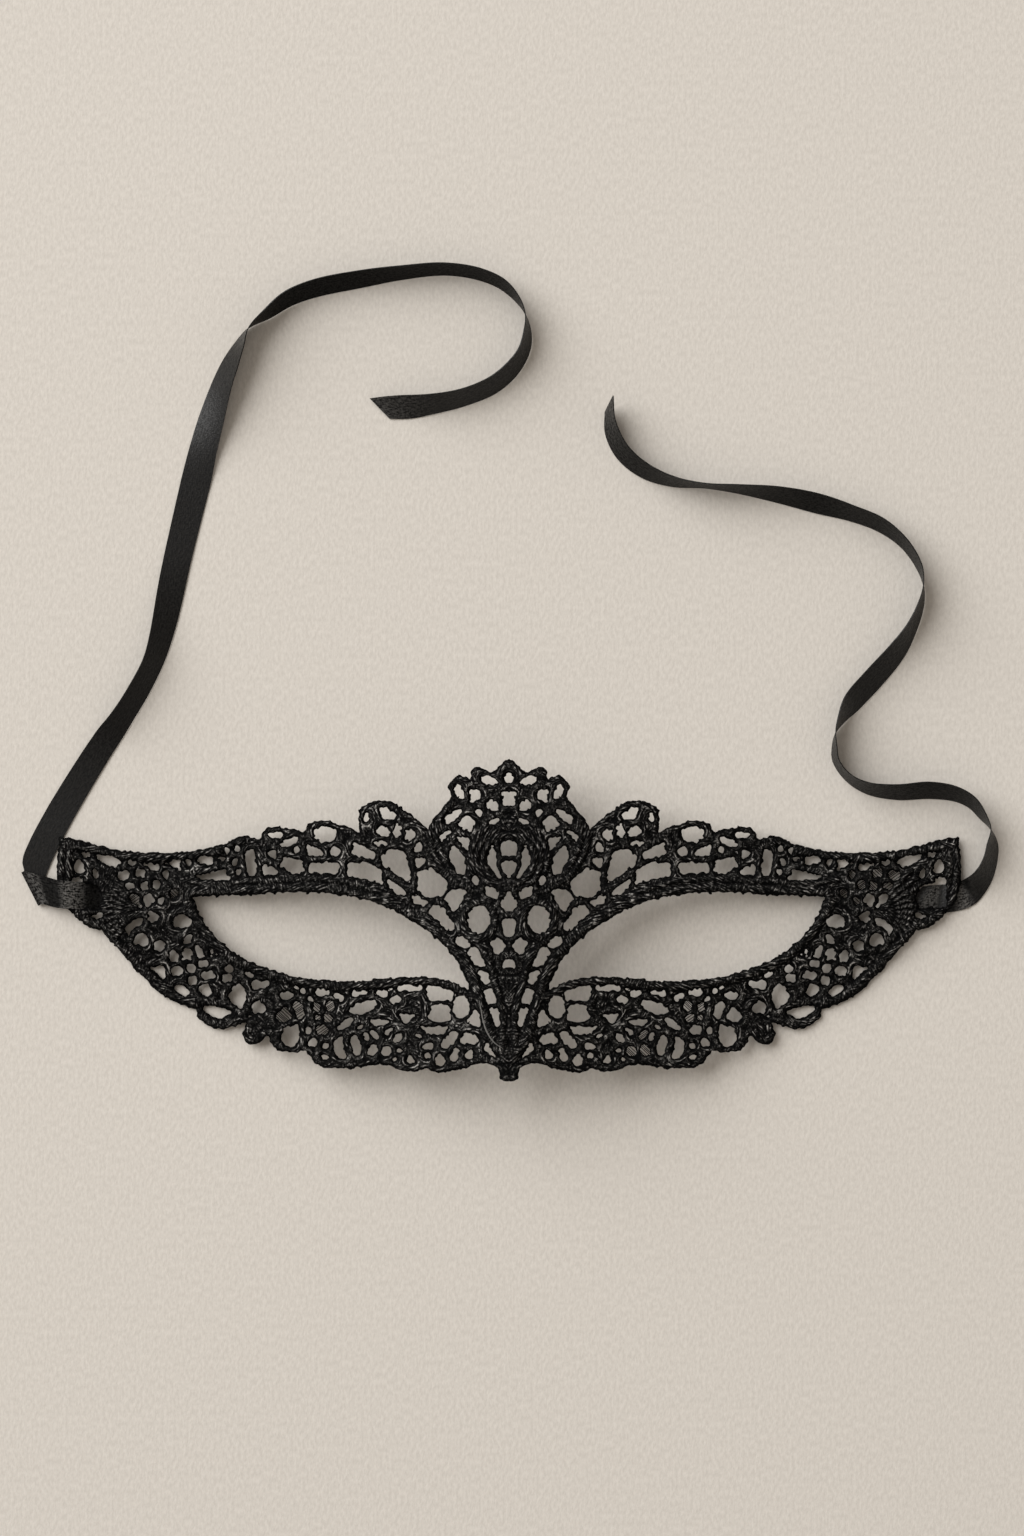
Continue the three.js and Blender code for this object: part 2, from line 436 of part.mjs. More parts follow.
// How high the underside of the lace stands over the table: an arch over the face that
// comes down at the cheeks' and the temples' edges, a ridge down the nose, and tabs that
// are lifted by the ribbons beneath them
function rise(x, y) {
  const { smoothstep } = THREE.MathUtils;
  const out = Math.abs(x);
  const halfSpan = CHEEK_HALF_SPAN + (EYE_HALF_SPAN - CHEEK_HALF_SPAN) * smoothstep(y, CHEEK_EDGE, CHEEK_TOP)
    - (EYE_HALF_SPAN - TEMPLE_HALF_SPAN) * smoothstep(y, TEMPLE_BOTTOM, TEMPLE_EDGE);
  const across = Math.min(out / halfSpan, 1);
  const arch = ARCH_HEIGHT * (1 - across) ** ARCH_FALL * (1 + ARCH_FALL * across);
  const nose = NOSE_RISE * Math.exp(-((x / NOSE_HALF_WIDTH) ** 2)) * (1 - smoothstep(y, NOSE_FULL, NOSE_TOP));
  const tab = smoothstep(out, TAB_LIFT_START, TAB_LIFT_END) * smoothstep(y, TAB_LIFT_FOOT, TAB_LIFT_FULL);
  return arch + nose + TAB_LIFT * tab;
}

// The place of a point that is seen at x, y and stands at height z
function placed(x, y, z) {
  const nearer = 1 - z / VIEW_HEIGHT;
  return new THREE.Vector3(
    VIEW_POINT[0] + (x - VIEW_POINT[0]) * nearer,
    VIEW_POINT[1] + (y - VIEW_POINT[1]) * nearer - MIDDLE,
    z,
  );
}

function bend(geometry) {
  const position = geometry.attributes.position;
  for (let i = 0; i < position.count; i += 1) {
    const [x, y] = [position.getX(i), position.getY(i)];
    const p = placed(x, y, position.getZ(i) + rise(x, y));
    position.setXYZ(i, p.x, p.y, p.z);
  }
  geometry.computeVertexNormals();
  return geometry;
}

function laceMask() {
  let solid = toSolid(extruded(laceOutline(), LACE_THICKNESS));
  for (const prism of cordPrisms()) solid = solid.add(toSolid(prism));
  const cutter = 2 * (LACE_THICKNESS + CORD_RISE);
  for (const shape of openingShapes()) {
    solid = solid.subtract(toSolid(extruded(shape, cutter).translate(0, 0, -cutter / 4)));
  }
  return bend(toGeometry(solid));
}

// The two ends of one line across a ribbon, in space
function rulingEnds([ax, ay, bx, by, lean, low = RIBBON_REST]) {
  const seen = Math.hypot(bx - ax, by - ay);
  const lift = Math.abs(lean) * Math.sqrt(Math.max(RIBBON_WIDTH ** 2 - seen ** 2, 0));
  return [
    placed(ax, ay, low + (lean > 0 ? lift : 0)),
    placed(bx, by, low + (lean < 0 ? lift : 0)),
  ];
}

// A thin band bent along its lines across, with four corners at each line
function ribbon(lines) {
  const ends = lines.map(rulingEnds);
  const middles = ends.map(([a, b]) => a.clone().add(b).multiplyScalar(0.5));
  const corners = ends.flatMap(([a, b], k) => {
    const along = middles[Math.min(k + 1, lines.length - 1)].clone().sub(middles[Math.max(k - 1, 0)]);
    const half = along.cross(b.clone().sub(a)).setLength(RIBBON_THICKNESS / 2);
    return [a.clone().add(half), b.clone().add(half), a.clone().sub(half), b.clone().sub(half)];
  });
  const index = [];
  const join = (a, b, c, d) => index.push(a, b, c, a, c, d);
  const last = corners.length - 4;
  for (let p = 0; p < last; p += 4) {
    const q = p + 4;
    join(p, q, q + 1, p + 1);
    join(p + 2, p + 3, q + 3, q + 2);
    join(p, p + 2, q + 2, q);
    join(p + 1, q + 1, q + 3, p + 3);
  }
  join(0, 1, 3, 2);
  join(last, last + 2, last + 3, last + 1);
  const geometry = new THREE.BufferGeometry().setFromPoints(corners).setIndex(index);
  geometry.computeVertexNormals();
  return geometry;
}

const mask = new THREE.Group();
const addPart = (name, geometry, finish) => {
  const mesh = new THREE.Mesh(geometry, new THREE.MeshStandardMaterial(finish));
  mesh.name = name;
  mask.add(mesh);
};
addPart('lace_mask', laceMask(), LACE_FINISH);
for (const [name, lines] of Object.entries(RIBBONS)) addPart(name, ribbon(lines), RIBBON_FINISH);

export default mask;
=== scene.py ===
"""The looks of the lace masquerade mask: one piece of stiff corded black lace and two
satin ribbons, lying face up on a pale table. The flat tables below are in millimetres,
as read from straight above, and everything that is built from them is in metres."""
import math

import bpy
import numpy as np
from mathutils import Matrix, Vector


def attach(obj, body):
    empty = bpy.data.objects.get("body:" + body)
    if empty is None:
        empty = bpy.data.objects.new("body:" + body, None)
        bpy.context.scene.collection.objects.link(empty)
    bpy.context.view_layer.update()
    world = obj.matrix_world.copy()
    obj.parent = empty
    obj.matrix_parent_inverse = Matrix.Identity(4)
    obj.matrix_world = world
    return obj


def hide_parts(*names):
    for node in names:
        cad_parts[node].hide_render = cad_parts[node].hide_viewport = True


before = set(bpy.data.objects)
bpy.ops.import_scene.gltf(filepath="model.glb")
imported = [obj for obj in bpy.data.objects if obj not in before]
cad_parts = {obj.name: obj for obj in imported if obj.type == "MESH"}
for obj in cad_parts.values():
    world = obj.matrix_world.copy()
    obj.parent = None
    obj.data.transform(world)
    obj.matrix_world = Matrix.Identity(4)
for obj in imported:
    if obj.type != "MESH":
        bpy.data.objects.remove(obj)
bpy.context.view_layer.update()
scene = bpy.context.scene
MM = 0.001

# Sizes that the solids share (mm)
LACE_THICKNESS = 1.5
ARCH_HEIGHT = 11
ARCH_FALL = 1.6
CHEEK_HALF_SPAN = 78
EYE_HALF_SPAN = 105
TEMPLE_HALF_SPAN = 84
CHEEK_EDGE = -24
CHEEK_TOP = -4
TEMPLE_BOTTOM = 8
TEMPLE_EDGE = 15
NOSE_RISE = 4
NOSE_HALF_WIDTH = 15
NOSE_TOP = 28
NOSE_FULL = -8
TAB_LIFT = 0.9
TAB_LIFT_START = 84
TAB_LIFT_END = 91
TAB_LIFT_FOOT = -12
TAB_LIFT_FULL = -3
RIBBON_WIDTH = 7.2
RIBBON_REST = 0.25
VIEW_HEIGHT = 900
VIEW_POINT = (0, 38)
MIDDLE = 0.64

# Sizes of the finer work (mm)
GRID = 0.43
BAR_WIDTH = 0.85
OPENING_GROWTH = 0.12
FUZZY_EDGE = 0.14
BAR_CORE = 0.3
EDGE_ROUND = 1.25
CORD_PITCH = 2.0
GROOVE = 0.55
CORD_RISE = 0.55
GRID_END = 114
GRID_BOTTOM = -41.3
GRID_TOP = 41.5
PAST_MIDDLE = -8
OPENING_REACH = 4
EDGE_REACH = 5
CORD_REACH = 1.6
CURVE_STEP = 0.3
CORD_STEP = 0.5
RING_SIDES = 60
CORNER_CUT = 0.3
SMALL_CORNER_CUT = 0.4
CUT_SHARE = 0.3
SMALL_SIDE = 1.9
RIBBON_THICKNESS = 0.26
RIBBON_CLEARANCE = 0.06
RIBBON_STEP = 0.8
RIBBON_COLUMNS = 9
PUCKER_FADE = 4
TIP_FADE = 16
# Where the hem's openings stay as they are: from none to all of them, down from the
# eyes, out from the nose and in from the cheeks
HEM_DOWN = (16, 19)
HEM_OUT = (16, 22)
HEM_IN = (52, 58)

# Colours, as linear light
THREAD_DARK = (0.0012, 0.0012, 0.0013, 1)
# painted sheen: the pale colour of the thread specks stands in for the threads' highlights
THREAD_PAINTED_SHEEN = (0.48, 0.464, 0.44, 1)
# painted glint: the black shiny thread's colour is lightened to a grey that reads as lit
SHINY_THREAD_PAINTED_GLINT = (0.14, 0.137, 0.13, 1)
SATIN_DARK = (0.0003, 0.0003, 0.0004, 1)
SATIN_LIGHT = (0.0145, 0.0141, 0.0134, 1)
# painted sheen: pale specks that stand in for the satin's highlights on the sewn ripples and at the cut tip
SATIN_PAINTED_SHEEN = (0.15, 0.146, 0.139, 1)
PAPER_DARK = (0.625, 0.59, 0.541, 1)
PAPER_LIGHT = (0.707, 0.669, 0.616, 1)

# The tables of the flat outline, the openings, the raised cords and the ribbons
EDGE_RUNS = {
    "crown": [[0, 40.4], [1.8, 39.3], [4.2, 37.1], [6.6, 37.8], [8.5, 38.3], [9.6, 37], [9.4, 35]],
    "crestLobe": [[9.4, 35], [12.8, 36.2], [15, 33.8], [14.6, 30.2]],
    "crestSide": [[14.6, 30.2], [16.9, 27.7], [18.9, 25.2], [20.3, 22.8]],
    "bigLoop": [[20.3, 22.8], [25, 26.9], [31.3, 30], [37.2, 27.8], [37.4, 22]],
    "middleLoop": [[37.4, 22], [41, 23.6], [47, 25], [50, 24], [51.3, 22]],
    "smallLoop": [[51.3, 22], [55.5, 22.9], [59.8, 23.2], [61.7, 21.6], [62.1, 20.2]],
    "templeTop": [
        [62.1, 20.2], [66.5, 21], [72, 18.9], [80, 17.1], [90, 16.9], [99.5, 17.9], [106, 19.6],
        [112.4, 20.8],
    ],
    "tabEnd": [[112.4, 20.8], [112.9, 15], [113, 11], [111.6, 4.5], [107.3, 0]],
    "cheekEdge": [
        [107.3, 0], [105, -1.8], [102.2, -2.6], [98.7, -6.4], [90.3, -15.5], [85.5, -19.6], [78.4, -22.4],
    ],
    "cheekLoop": [[78.4, -22.4], [77.4, -24.9], [72.5, -27.3], [65.7, -25.8]],
    "knob": [[65.7, -25.8], [66.5, -29], [64, -31.3], [60.5, -28.9]],
    "lowerLoop": [[60.5, -28.9], [58.5, -32], [54.8, -33.2], [50.8, -32.8]],
    "outerHem": [[50.8, -32.8], [47.5, -36.4], [40, -37.1], [32.3, -35.9]],
    "middleHem": [[32.3, -35.9], [24.6, -37.8], [20.9, -37.1]],
    "innerHem": [[20.9, -37.1], [17.2, -38.1], [11, -36.9], [6.7, -35.6]],
    "stem": [[6.7, -35.6], [3.1, -36.8], [2.3, -38], [2.1, -40], [0, -40.3]],
}

UPPER_LID = [
    [78.8, 5.7], [70, 6], [55, 6.7], [46, 6.6], [38, 5.4], [31, 3.3], [24.5, -0.2], [18, -5], [12.7, -10.9],
    [9.6, -17.8],
]

LOWER_LID = [
    [9.6, -17.8], [14.5, -15.2], [22, -14], [32, -14.6], [39.5, -15.2], [48, -14.7], [56, -13.3],
    [68, -8.5], [76.8, 0.5], [78.8, 5.9],
]

OVALS = {
    "tab": [
        [96.2, 11.2, 2.9, 2.5], [92.2, 11.7, 2.5, 2], [94.7, 8.5, 2.3, 1.9], [91.2, 8.6, 2.2, 2.2],
        [88.1, 8.9, 2, 2.4], [85.8, 11.3, 1.5, 2.2], [83.7, 6.5, 1.7, 2.3], [86.9, 4.9, 1.4, 1.7],
    ],
    "cheek": [
        [81.9, -0.5, 4.6, 3.5], [87.4, -6.5, 2.6, 2.7], [83, -12.8, 3, 2.4], [79.4, -12, 2, 2.1],
        [79, -15.1, 2.2, 2.2], [76.5, -11, 2.6, 1.7], [75.8, -17.5, 3.5, 2.7], [70, -12, 2.1, 1.6],
        [70.5, -14.6, 2.3, 2.2], [55.6, -18.8, 3.4, 2.3], [49.6, -19.6, 1.7, 1.3],
    ],
    "hem": [
        [48, -21.7, 2.1, 2.2], [44.7, -21.6, 2.4, 2.7], [47.9, -24.3, 1.6, 1.7], [45.3, -24.7, 2.3, 2.2],
        [46.6, -27.5, 3.2, 2.5], [50.1, -27.4, 1.3, 2.6], [49, -30.6, 2.5, 2.3], [45.9, -31.5, 1.9, 1.8],
        [37.1, -26.8, 1.8, 1.2], [27.4, -32.7, 1.5, 1.1], [20.5, -33.8, 2, 1.6], [17.2, -35.1, 2.4, 2.9],
        [12, -21.9, 4, 5.8],
    ],
    "brow": [
        [70.4, 17.1, 1.2, 1.9], [68.5, 14.5, 1.7, 1.9], [67.6, 11.9, 1.5, 1.7], [71.8, 15.2, 1.5, 1.6],
        [67.8, 18, 1.4, 2.1], [59.2, 16.4, 1.8, 2.3], [53, 17.6, 1.5, 1.7], [45.9, 21.4, 5.6, 4],
        [43.5, 17.1, 2.3, 2.5], [58.2, 21.2, 3.8, 1.3], [35.6, 25.5, 1, 2.3],
    ],
    "crest": [[7.5, 0.1, 5.6, 6.7]],
}

SLITS = {
    "tab": [
        [107.2, 16.7, 104.6, 16.1, 1], [95.2, 14.6, 93.4, 14.2, 0.9], [103.9, 12.6, 102.9, 10.5, 0.9],
        [104.6, 0.8, 101.6, 1.2, 1],
    ],
    "cheek": [[83.7, -16.4, 80.1, -18.6, 1.9], [66, -13.3, 64, -13.8, 0.9], [65.6, -23.8, 64, -24.1, 0.7]],
    "hem": [
        [49.2, -18, 44.4, -18.4, 1.3], [43, -27.5, 38.9, -24.4, 1.5], [29.9, -20.5, 26.9, -19.3, 1.7],
        [39, -28.5, 37.6, -34.2, 2.1], [36.5, -28, 34.9, -30.2, 1.2], [34.6, -27.4, 32.6, -29.8, 1.5],
        [33.3, -31, 35.1, -34, 2.1], [26.6, -28.1, 28.8, -30.6, 1.4], [23.4, -28.8, 21.8, -29.2, 0.9],
        [21.7, -31.9, 18.8, -31.2, 1.5], [29, -35, 28, -34.9, 0.7], [12.9, -27.9, 16.8, -32.1, 2.1],
        [12.9, -32.2, 14.3, -35.4, 1.7], [47.5, -33.7, 45.2, -34.4, 1],
    ],
    "brow": [[57.1, 18.6, 52.5, 20.4, 1.3], [33.8, 19.2, 30.4, 19.1, 0.8]],
    "crest": [
        [7.1, 35.5, 2.9, 34.2, 1.5], [13.2, 33.9, 11.6, 30.3, 1.6], [8.3, 27.6, 6.8, 26.1, 1],
        [16.5, 24.1, 11.9, 27.6, 1.5], [5, 24.2, 2.4, 25.2, 0.9], [14.1, 18.4, 11.3, 11.1, 2.7],
        [28.1, 20.4, 27.6, 24.3, 1.4], [8.9, 11.2, 7.7, 8.4, 1.1],
    ],
    "nose": [[13.2, -4.3, 10.2, -6.8, 1.8]],
}

PANES = {
    "tab": [
        [[103.6, 16.2], [98.5, 15.6], [96.5, 14.3], [98.9, 13.2], [101, 14.2]],
        [[91.4, 14.2], [87.2, 13.8], [88, 12.6], [89.2, 12.4]],
        [[86, 14.3], [82.3, 15.1], [82.2, 12.3], [84, 13.6]], [[80.7, 15.1], [79.1, 14.9], [80.2, 13.1]],
        [[108.7, 13.8], [107.5, 15], [106.5, 14], [106.1, 11.8], [108.7, 11.6]],
        [
            [109.3, 9.5], [109, 10.4], [107.6, 10.9], [106.5, 10.1], [106.4, 9], [103, 8.5], [101.8, 5.6],
            [102.6, 2.9], [105.6, 3.1], [109.2, 3.3],
        ],
        [[91.3, 5.9], [89.9, 6.6], [88.6, 4.7], [90.6, 3.3]],
        [[94.7, 6.1], [92.5, 6.2], [91.8, 2.9], [93.7, 4.2]],
        [[90, 2.1], [87.2, 1.1], [88, -0.5], [90.1, -0.1]],
        [[93.8, 0.3], [91.4, 0.4], [91.6, -0.7], [93.4, -1.5], [95.2, -3.9], [95.8, -2.4]],
    ],
    "cheek": [
        [[93, -3.7], [91.4, -3.3], [90.2, -4.9], [90.7, -6.5], [93.6, -6.1]],
        [[81, -4.4], [79.3, -3.4], [79.9, -6.1], [81.5, -6]],
        [[78.3, -6.6], [77.4, -6.5], [76, -9.4], [78, -9.2]],
        [[81.4, -7.2], [79.2, -7.4], [79.4, -10.1], [81.5, -10]],
        [[84.7, -7.9], [82.6, -7.8], [82.7, -10.1], [84.6, -10.4]],
        [[74.7, -7.1], [72.5, -8.8], [74.8, -8.9]], [[89.6, -11.7], [86.3, -11.6], [86.2, -15]],
        [[76.8, -13.5], [73.7, -12.2], [73.7, -14.6], [76.4, -14.9]],
        [[67.4, -15.6], [65.9, -17.6], [66, -20.6], [67.2, -22.2], [70.4, -19], [69, -17]],
        [[75, -21.4], [70.3, -22.3], [69.4, -23.2], [72, -24.6], [74.9, -23.9], [76.5, -22]],
        [[64.2, -15.4], [60.3, -15.3], [59.6, -16.5], [63.9, -17.4]],
        [[62.9, -20.1], [60.6, -21.9], [61.2, -23], [64.3, -23.4], [64.2, -21.6]],
        [[53.8, -16.6], [50.6, -17.4], [51.1, -18.6], [52.2, -18]],
        [[52.8, -20.3], [51.4, -21.7], [51.2, -23.8], [52.7, -24.9], [54.3, -21.1]],
        [[55.8, -21.7], [54.4, -23.9], [55.1, -25.2], [57.1, -25.6], [58.3, -24.8], [57.2, -22.4]],
        [[56.3, -27], [52.7, -26], [52.5, -30], [53.6, -31.6], [56, -31.4], [56.9, -29]],
    ],
    "hem": [
        [[43.9, -30.3], [41.6, -29], [41.5, -31.5], [40.7, -34.3], [42.5, -34.6], [43.8, -32.6]],
        [[40, -18], [34.8, -17.7], [36.4, -18.8], [38.8, -19.1]],
        [[44, -18.9], [42.3, -18.1], [40.6, -19.6], [42, -20.4]],
        [[32.9, -17.7], [29, -17.2], [31.3, -19.5], [33.5, -18.4]],
        [[27.6, -16.5], [21.9, -16.5], [22, -17.7], [27.6, -17.6]],
        [[41, -23.4], [38, -20.9], [34, -19.9], [32.6, -21.2], [36.8, -23.9], [38.8, -23.2]],
        [[34.9, -25], [31.8, -24.6], [30, -25.5], [31.6, -26.3], [33.6, -26.4]],
        [[27.6, -23.3], [23.5, -23.8], [25.7, -26.2], [26.7, -25]],
        [[31.4, -27.3], [28.6, -26.9], [30.7, -29.2]],
        [[31.4, -31.8], [30.4, -31.4], [29.5, -32.4], [29.7, -34], [32.2, -34]],
        [[24.8, -33.3], [23.9, -34.5], [23.5, -35.6], [25, -36], [25.7, -35.3]],
        [[20.6, -16.7], [17.3, -16.9], [13.9, -18], [14.3, -20.1], [20.1, -20.1]],
        [[19.4, -21.4], [15, -21.4], [14.6, -24.9], [17.7, -25.5], [20.2, -24.7]],
        [[8.7, -22.3], [7.4, -24.2], [7.2, -26.7], [10.4, -25.3]],
        [[22.3, -26.6], [15, -26.8], [16.8, -28.4], [18.6, -28.7], [21, -28]],
        [[12.3, -30.4], [11, -28.3], [8.7, -28.5], [7.5, -30.2], [8.2, -31.1], [10.4, -30.9]],
        [[5.5, -30.9], [6.3, -32.6], [3.1, -34.4], [4.6, -32.3]],
        [[10.5, -33], [9.3, -32.3], [8.8, -33.4], [9.6, -34.6], [10.9, -34.6]],
    ],
    "brow": [
        [[39.2, 16.3], [38.7, 19.3], [33.7, 16.8], [33.7, 15.3]],
        [[40.4, 14.2], [35.5, 14.3], [31.6, 11.9], [31.6, 9.1], [36, 10.3], [40.6, 11.2]],
        [[50.4, 18.7], [50.4, 16.1], [46.6, 16.1], [46.6, 17.2]],
        [[50, 14.3], [42.6, 14.3], [42.8, 12], [44.3, 11.6], [50, 11.9]],
        [[57, 14], [56, 15.8], [51.6, 14.5], [51.3, 11.8], [53.8, 11.7], [57, 13.4]],
        [[61.8, 11.4], [61.3, 14], [57.8, 12.3], [57.7, 11.6]],
        [[65.3, 17.6], [64, 17.8], [63.3, 14.5], [63.4, 11.2], [65, 10.9], [65.9, 16]],
        [[76.9, 15.9], [73.9, 15.6], [74.3, 13.9], [77.3, 13.9], [77.8, 14.9]],
        [[78.2, 10.9], [73.7, 12.1], [71, 12.5], [69.8, 10.2], [76.7, 10.3]],
    ],
    "crest": [
        [[9.7, 32.9], [6.9, 31.8], [6.9, 30.9], [9.6, 29.3]],
        [[4.6, 30.1], [3.2, 29.6], [2.7, 27.4], [4.8, 27.4], [5.6, 28.7]],
        [[12.7, 23.9], [10.1, 26.2], [8.4, 24.4], [9.6, 22.2], [11.6, 22.9]],
        [[17.3, 21.5], [14.2, 22.1], [16.2, 20.7], [16.9, 19]], [[13, 20.7], [10, 20.4], [10.3, 17.3]],
        [[4.1, 18.7], [5.3, 15.5], [4.6, 12.8], [1.9, 10.4], [3.2, 13.5], [3.3, 16]],
        [[5.9, 8.5], [2.6, 6.9], [3, 5.1], [5.4, 6.3]],
        [[14.6, 8], [10.8, 7.1], [11.8, 5.3], [13.7, 2], [16.1, 5]],
        [[22.6, 12], [19.5, 12.9], [15.6, 9.6], [15.8, 7.1], [18, 5.6], [21, 5.8], [23, 8]],
        [[18.7, 3.9], [16.5, 2.8], [13.6, -1.6], [14.3, -3.3], [16.5, -1.2], [19.9, 1.9]],
        [[24.1, 6.5], [23.9, 4.6], [20.9, 3.1], [20, 4.5]],
        [[30.5, 10.4], [30, 8.4], [28, 6.5], [25.4, 6.3], [28.5, 9.2]],
        [
            [31.8, 16], [30.2, 17.4], [27.3, 17.6], [25.6, 15.6], [24.7, 12], [24.7, 9.1], [28.5, 12],
            [31.4, 13.7],
        ],
        [[24.1, 17.3], [22.5, 19.5], [21.6, 17.1]], [[23.5, 15.3], [21, 15.2], [21.2, 13.6], [22.9, 12.9]],
        [[25.6, 22.8], [24.2, 22.3], [23.5, 21.3], [25.3, 19.7], [26, 20.6]],
        [[33.3, 21.9], [32.5, 23.5], [29.9, 22.8], [29.9, 21.3], [32, 21.1]],
        [[32, 28], [31, 28.2], [27.9, 26.2], [29.3, 25.1], [31.8, 25.5]],
    ],
    "nose": [
        [[10.3, -7.8], [8.6, -6.2], [5.9, -11.5], [8.2, -11.6]],
        [[7.5, -13], [5.5, -12.8], [4.7, -15.4], [6.4, -16.4]],
        [[6.1, -17.7], [4.3, -17], [3.2, -20.3], [4.4, -21.5], [5.5, -20.8]],
        [[4.8, -22.3], [2.8, -22.1], [2.3, -25.5], [3, -27.1], [3.7, -26]],
        [[5.1, -5.8], [2.8, -4.3], [0.5, -6.3], [3.1, -8.7]],
    ],
}

MIDDLE_OPENINGS = [
    [[0, 36.8], [1.2, 36], [1.2, 35], [0, 34.3]], [[1.5, 31.8], [1.6, 28.5]],
    [[0, 20], [1.5, 19.6], [2, 18.6], [1.8, 16.1]], [[1.8, 14.6], [1.5, 12.8], [0.4, 10.6]],
    [[0, 7], [2.1, 4.6], [1.3, 2.5], [0, 2.1]], [[0, 0.6], [1.5, -0.1], [1.8, -2], [1.3, -3.8], [0, -4.1]],
    [[0, -9.7], [1.2, -10.3], [1.5, -11.9], [0, -11.3]],
]

CORDS = {
    "upperLidCord": [
        2.8,
        [
            [80.4, 4], [79.4, 6.8], [70, 7.2], [62, 7.6], [55, 7.9], [46, 7.8], [38.3, 6.6], [31, 4.6],
            [24, 1.1], [17.3, -3.8], [11.6, -9.9], [8.5, -16], [6.6, -23], [4.2, -29.5], [0.8, -34.5],
        ],
    ],
    "lowerLidCord": [
        2.8,
        [
            [9.2, -19.4], [14.2, -16.4], [22, -15.2], [32, -15.8], [39.5, -16.4], [48, -15.9],
            [56.5, -14.5], [68.6, -9.6], [77.9, -0.2], [80.4, 4],
        ],
    ],
    "browCord": [
        1.6,
        [
            [82, 10], [74, 9.4], [62, 9.9], [52, 10.3], [46, 10.2], [39, 9.2], [32.6, 7], [26, 3.4],
            [20, -0.9], [15.6, -4.9],
        ],
    ],
    "crestCord": [
        1.5, [[16, 29], [19, 25], [19.7, 21], [18.7, 16.5], [16.4, 12.6], [13.4, 9.6], [9.8, 7.6]],
    ],
    "noseCord": [
        1.8, [[10.4, -4.6], [6.6, -7.4], [4.7, -11], [3.6, -15], [2.5, -20], [1.8, -26], [1.5, -31]],
    ],
}

RIBBONS = {
    "ribbon_left": [
        [-97.5, 2.1, -97.5, 9, 0], [-103, 2.3, -103, 9.2, 0], [-105.8, 2.6, -105.8, 9.5, 0, 1.35],
        [-108.7, 2.7, -109, 9.6, 0, 3], [-112.2, 3, -112.8, 9.95, 0, 3],
        [-117.1, 3.9, -121.3, 12.2, 0, 1.25], [-117.6, 3.6, -121.8, 11.9, 0, 0.75],
        [-117.1, 3.9, -121.3, 12.2, 0], [-116.3, 9.6, -121.6, 14.8, 0], [-113.9, 15.6, -120.1, 19.2, 0],
        [-109, 25, -115.1, 28.6, 0], [-99.2, 41.6, -104.2, 45.7, -0.5], [-94.9, 48.4, -99.4, 51.8, -1],
        [-90.3, 56.1, -94.9, 58.7, -1], [-86.6, 63.6, -91.4, 65.5, -1], [-84.1, 70.6, -89.7, 72, -0.9],
        [-79.7, 88.7, -86.5, 90, -0.3], [-74.7, 108.5, -82, 110, 0], [-72.8, 118.2, -79.3, 120, 0.6],
        [-69.4, 133.1, -73.9, 135, 1], [-67.8, 138.3, -71.4, 140, 1], [-66.3, 143.6, -68.3, 144.5, 1],
        [-65.2, 147.9, -65.2, 147.9, 1], [-61.5, 152.3, -59.7, 150.5, 1], [-56.3, 157, -54.3, 153.6, 1],
        [-49, 160.1, -47.9, 155.8, 1], [-38, 162.3, -37.3, 158, 1], [-27, 163.6, -26.6, 160.1, 1],
        [-16, 164.3, -16, 161.2, 1], [-7, 162.9, -8, 160.1, 1], [-0.8, 159.9, -2.4, 157.9, 1],
        [2.9, 155.2, 1.9, 154.4, 1], [4.1, 151.4, 4.1, 151.4, 1], [3.8, 147.8, 5.5, 147.2, 1],
        [2.5, 143.2, 5.25, 142.3, 1], [-0.6, 139.2, 2.2, 136.5, 1], [-5, 135.7, -3.1, 131.8, 1],
        [-12, 132.8, -10.8, 128.6, 1], [-21, 131.4, -20.3, 126.2, 1], [-34.8, 130.4, -29.8, 125.3, 1],
    ],
    "ribbon_right": [
        [103.4, 8.3, 98, 2.6, 0], [107.5, 8.8, 105.3, 1.8, 0], [111, 9.05, 112, 2.25, 0],
        [112.9, 9.6, 115.6, 3.5, 0], [114.9, 10.7, 118.8, 6.6, 0.8], [116.9, 12.5, 120.9, 10.3, 1],
        [118.6, 15.4, 122, 14.6, 1], [119.5, 18.8, 122.2, 18.8, 1], [120.5, 22.6, 120.5, 22.6, 1],
        [119.5, 26, 117.8, 25.3, 1], [116.8, 30.4, 115, 28.1, 1], [112.3, 33.2, 111.4, 29.7, 1],
        [105.5, 34.5, 105.3, 30.35, 1], [97, 33.85, 97, 30.1, 1], [90, 34.35, 89.3, 31.6, 1],
        [85.6, 36.3, 84.2, 34.9, 1], [82.6, 39.9, 81, 39.6, 1], [82, 43.4, 80.8, 43.3, 1],
        [81.7, 46.8, 81.7, 46.8, 1], [82.2, 50.4, 84, 49.6, 1], [84.1, 56.1, 87.6, 52.8, 1],
        [89.4, 62.4, 93, 58.5, 1], [95, 68.4, 98.6, 65.5, 1], [99.3, 73.6, 101.7, 71.9, 1],
        [102.2, 79, 103.7, 78.7, 1], [103.6, 83.6, 103.6, 83.6, 1], [103.3, 88.6, 101.8, 88.1, 1],
        [99.9, 94.8, 98, 93.2, 1], [94, 100.2, 92.4, 97.1, 1], [86.5, 103.5, 85.1, 99.8, 1],
        [77.5, 106.6, 76.4, 101.8, 1], [68, 108.3, 67.2, 104.3, 1], [58, 108.85, 57.7, 106.55, 1],
        [49, 109.2, 49, 107.95, 1], [41.5, 110.8, 40.6, 108.4, 1], [35, 113.9, 33, 110.7, 1],
        [30.2, 118, 27, 115.5, 1], [27.6, 122.3, 24.1, 121.5, 1], [26.3, 126.6, 24, 126.4, 1],
        [26.05, 131.1, 24.2, 127.4, 1],
    ],
}
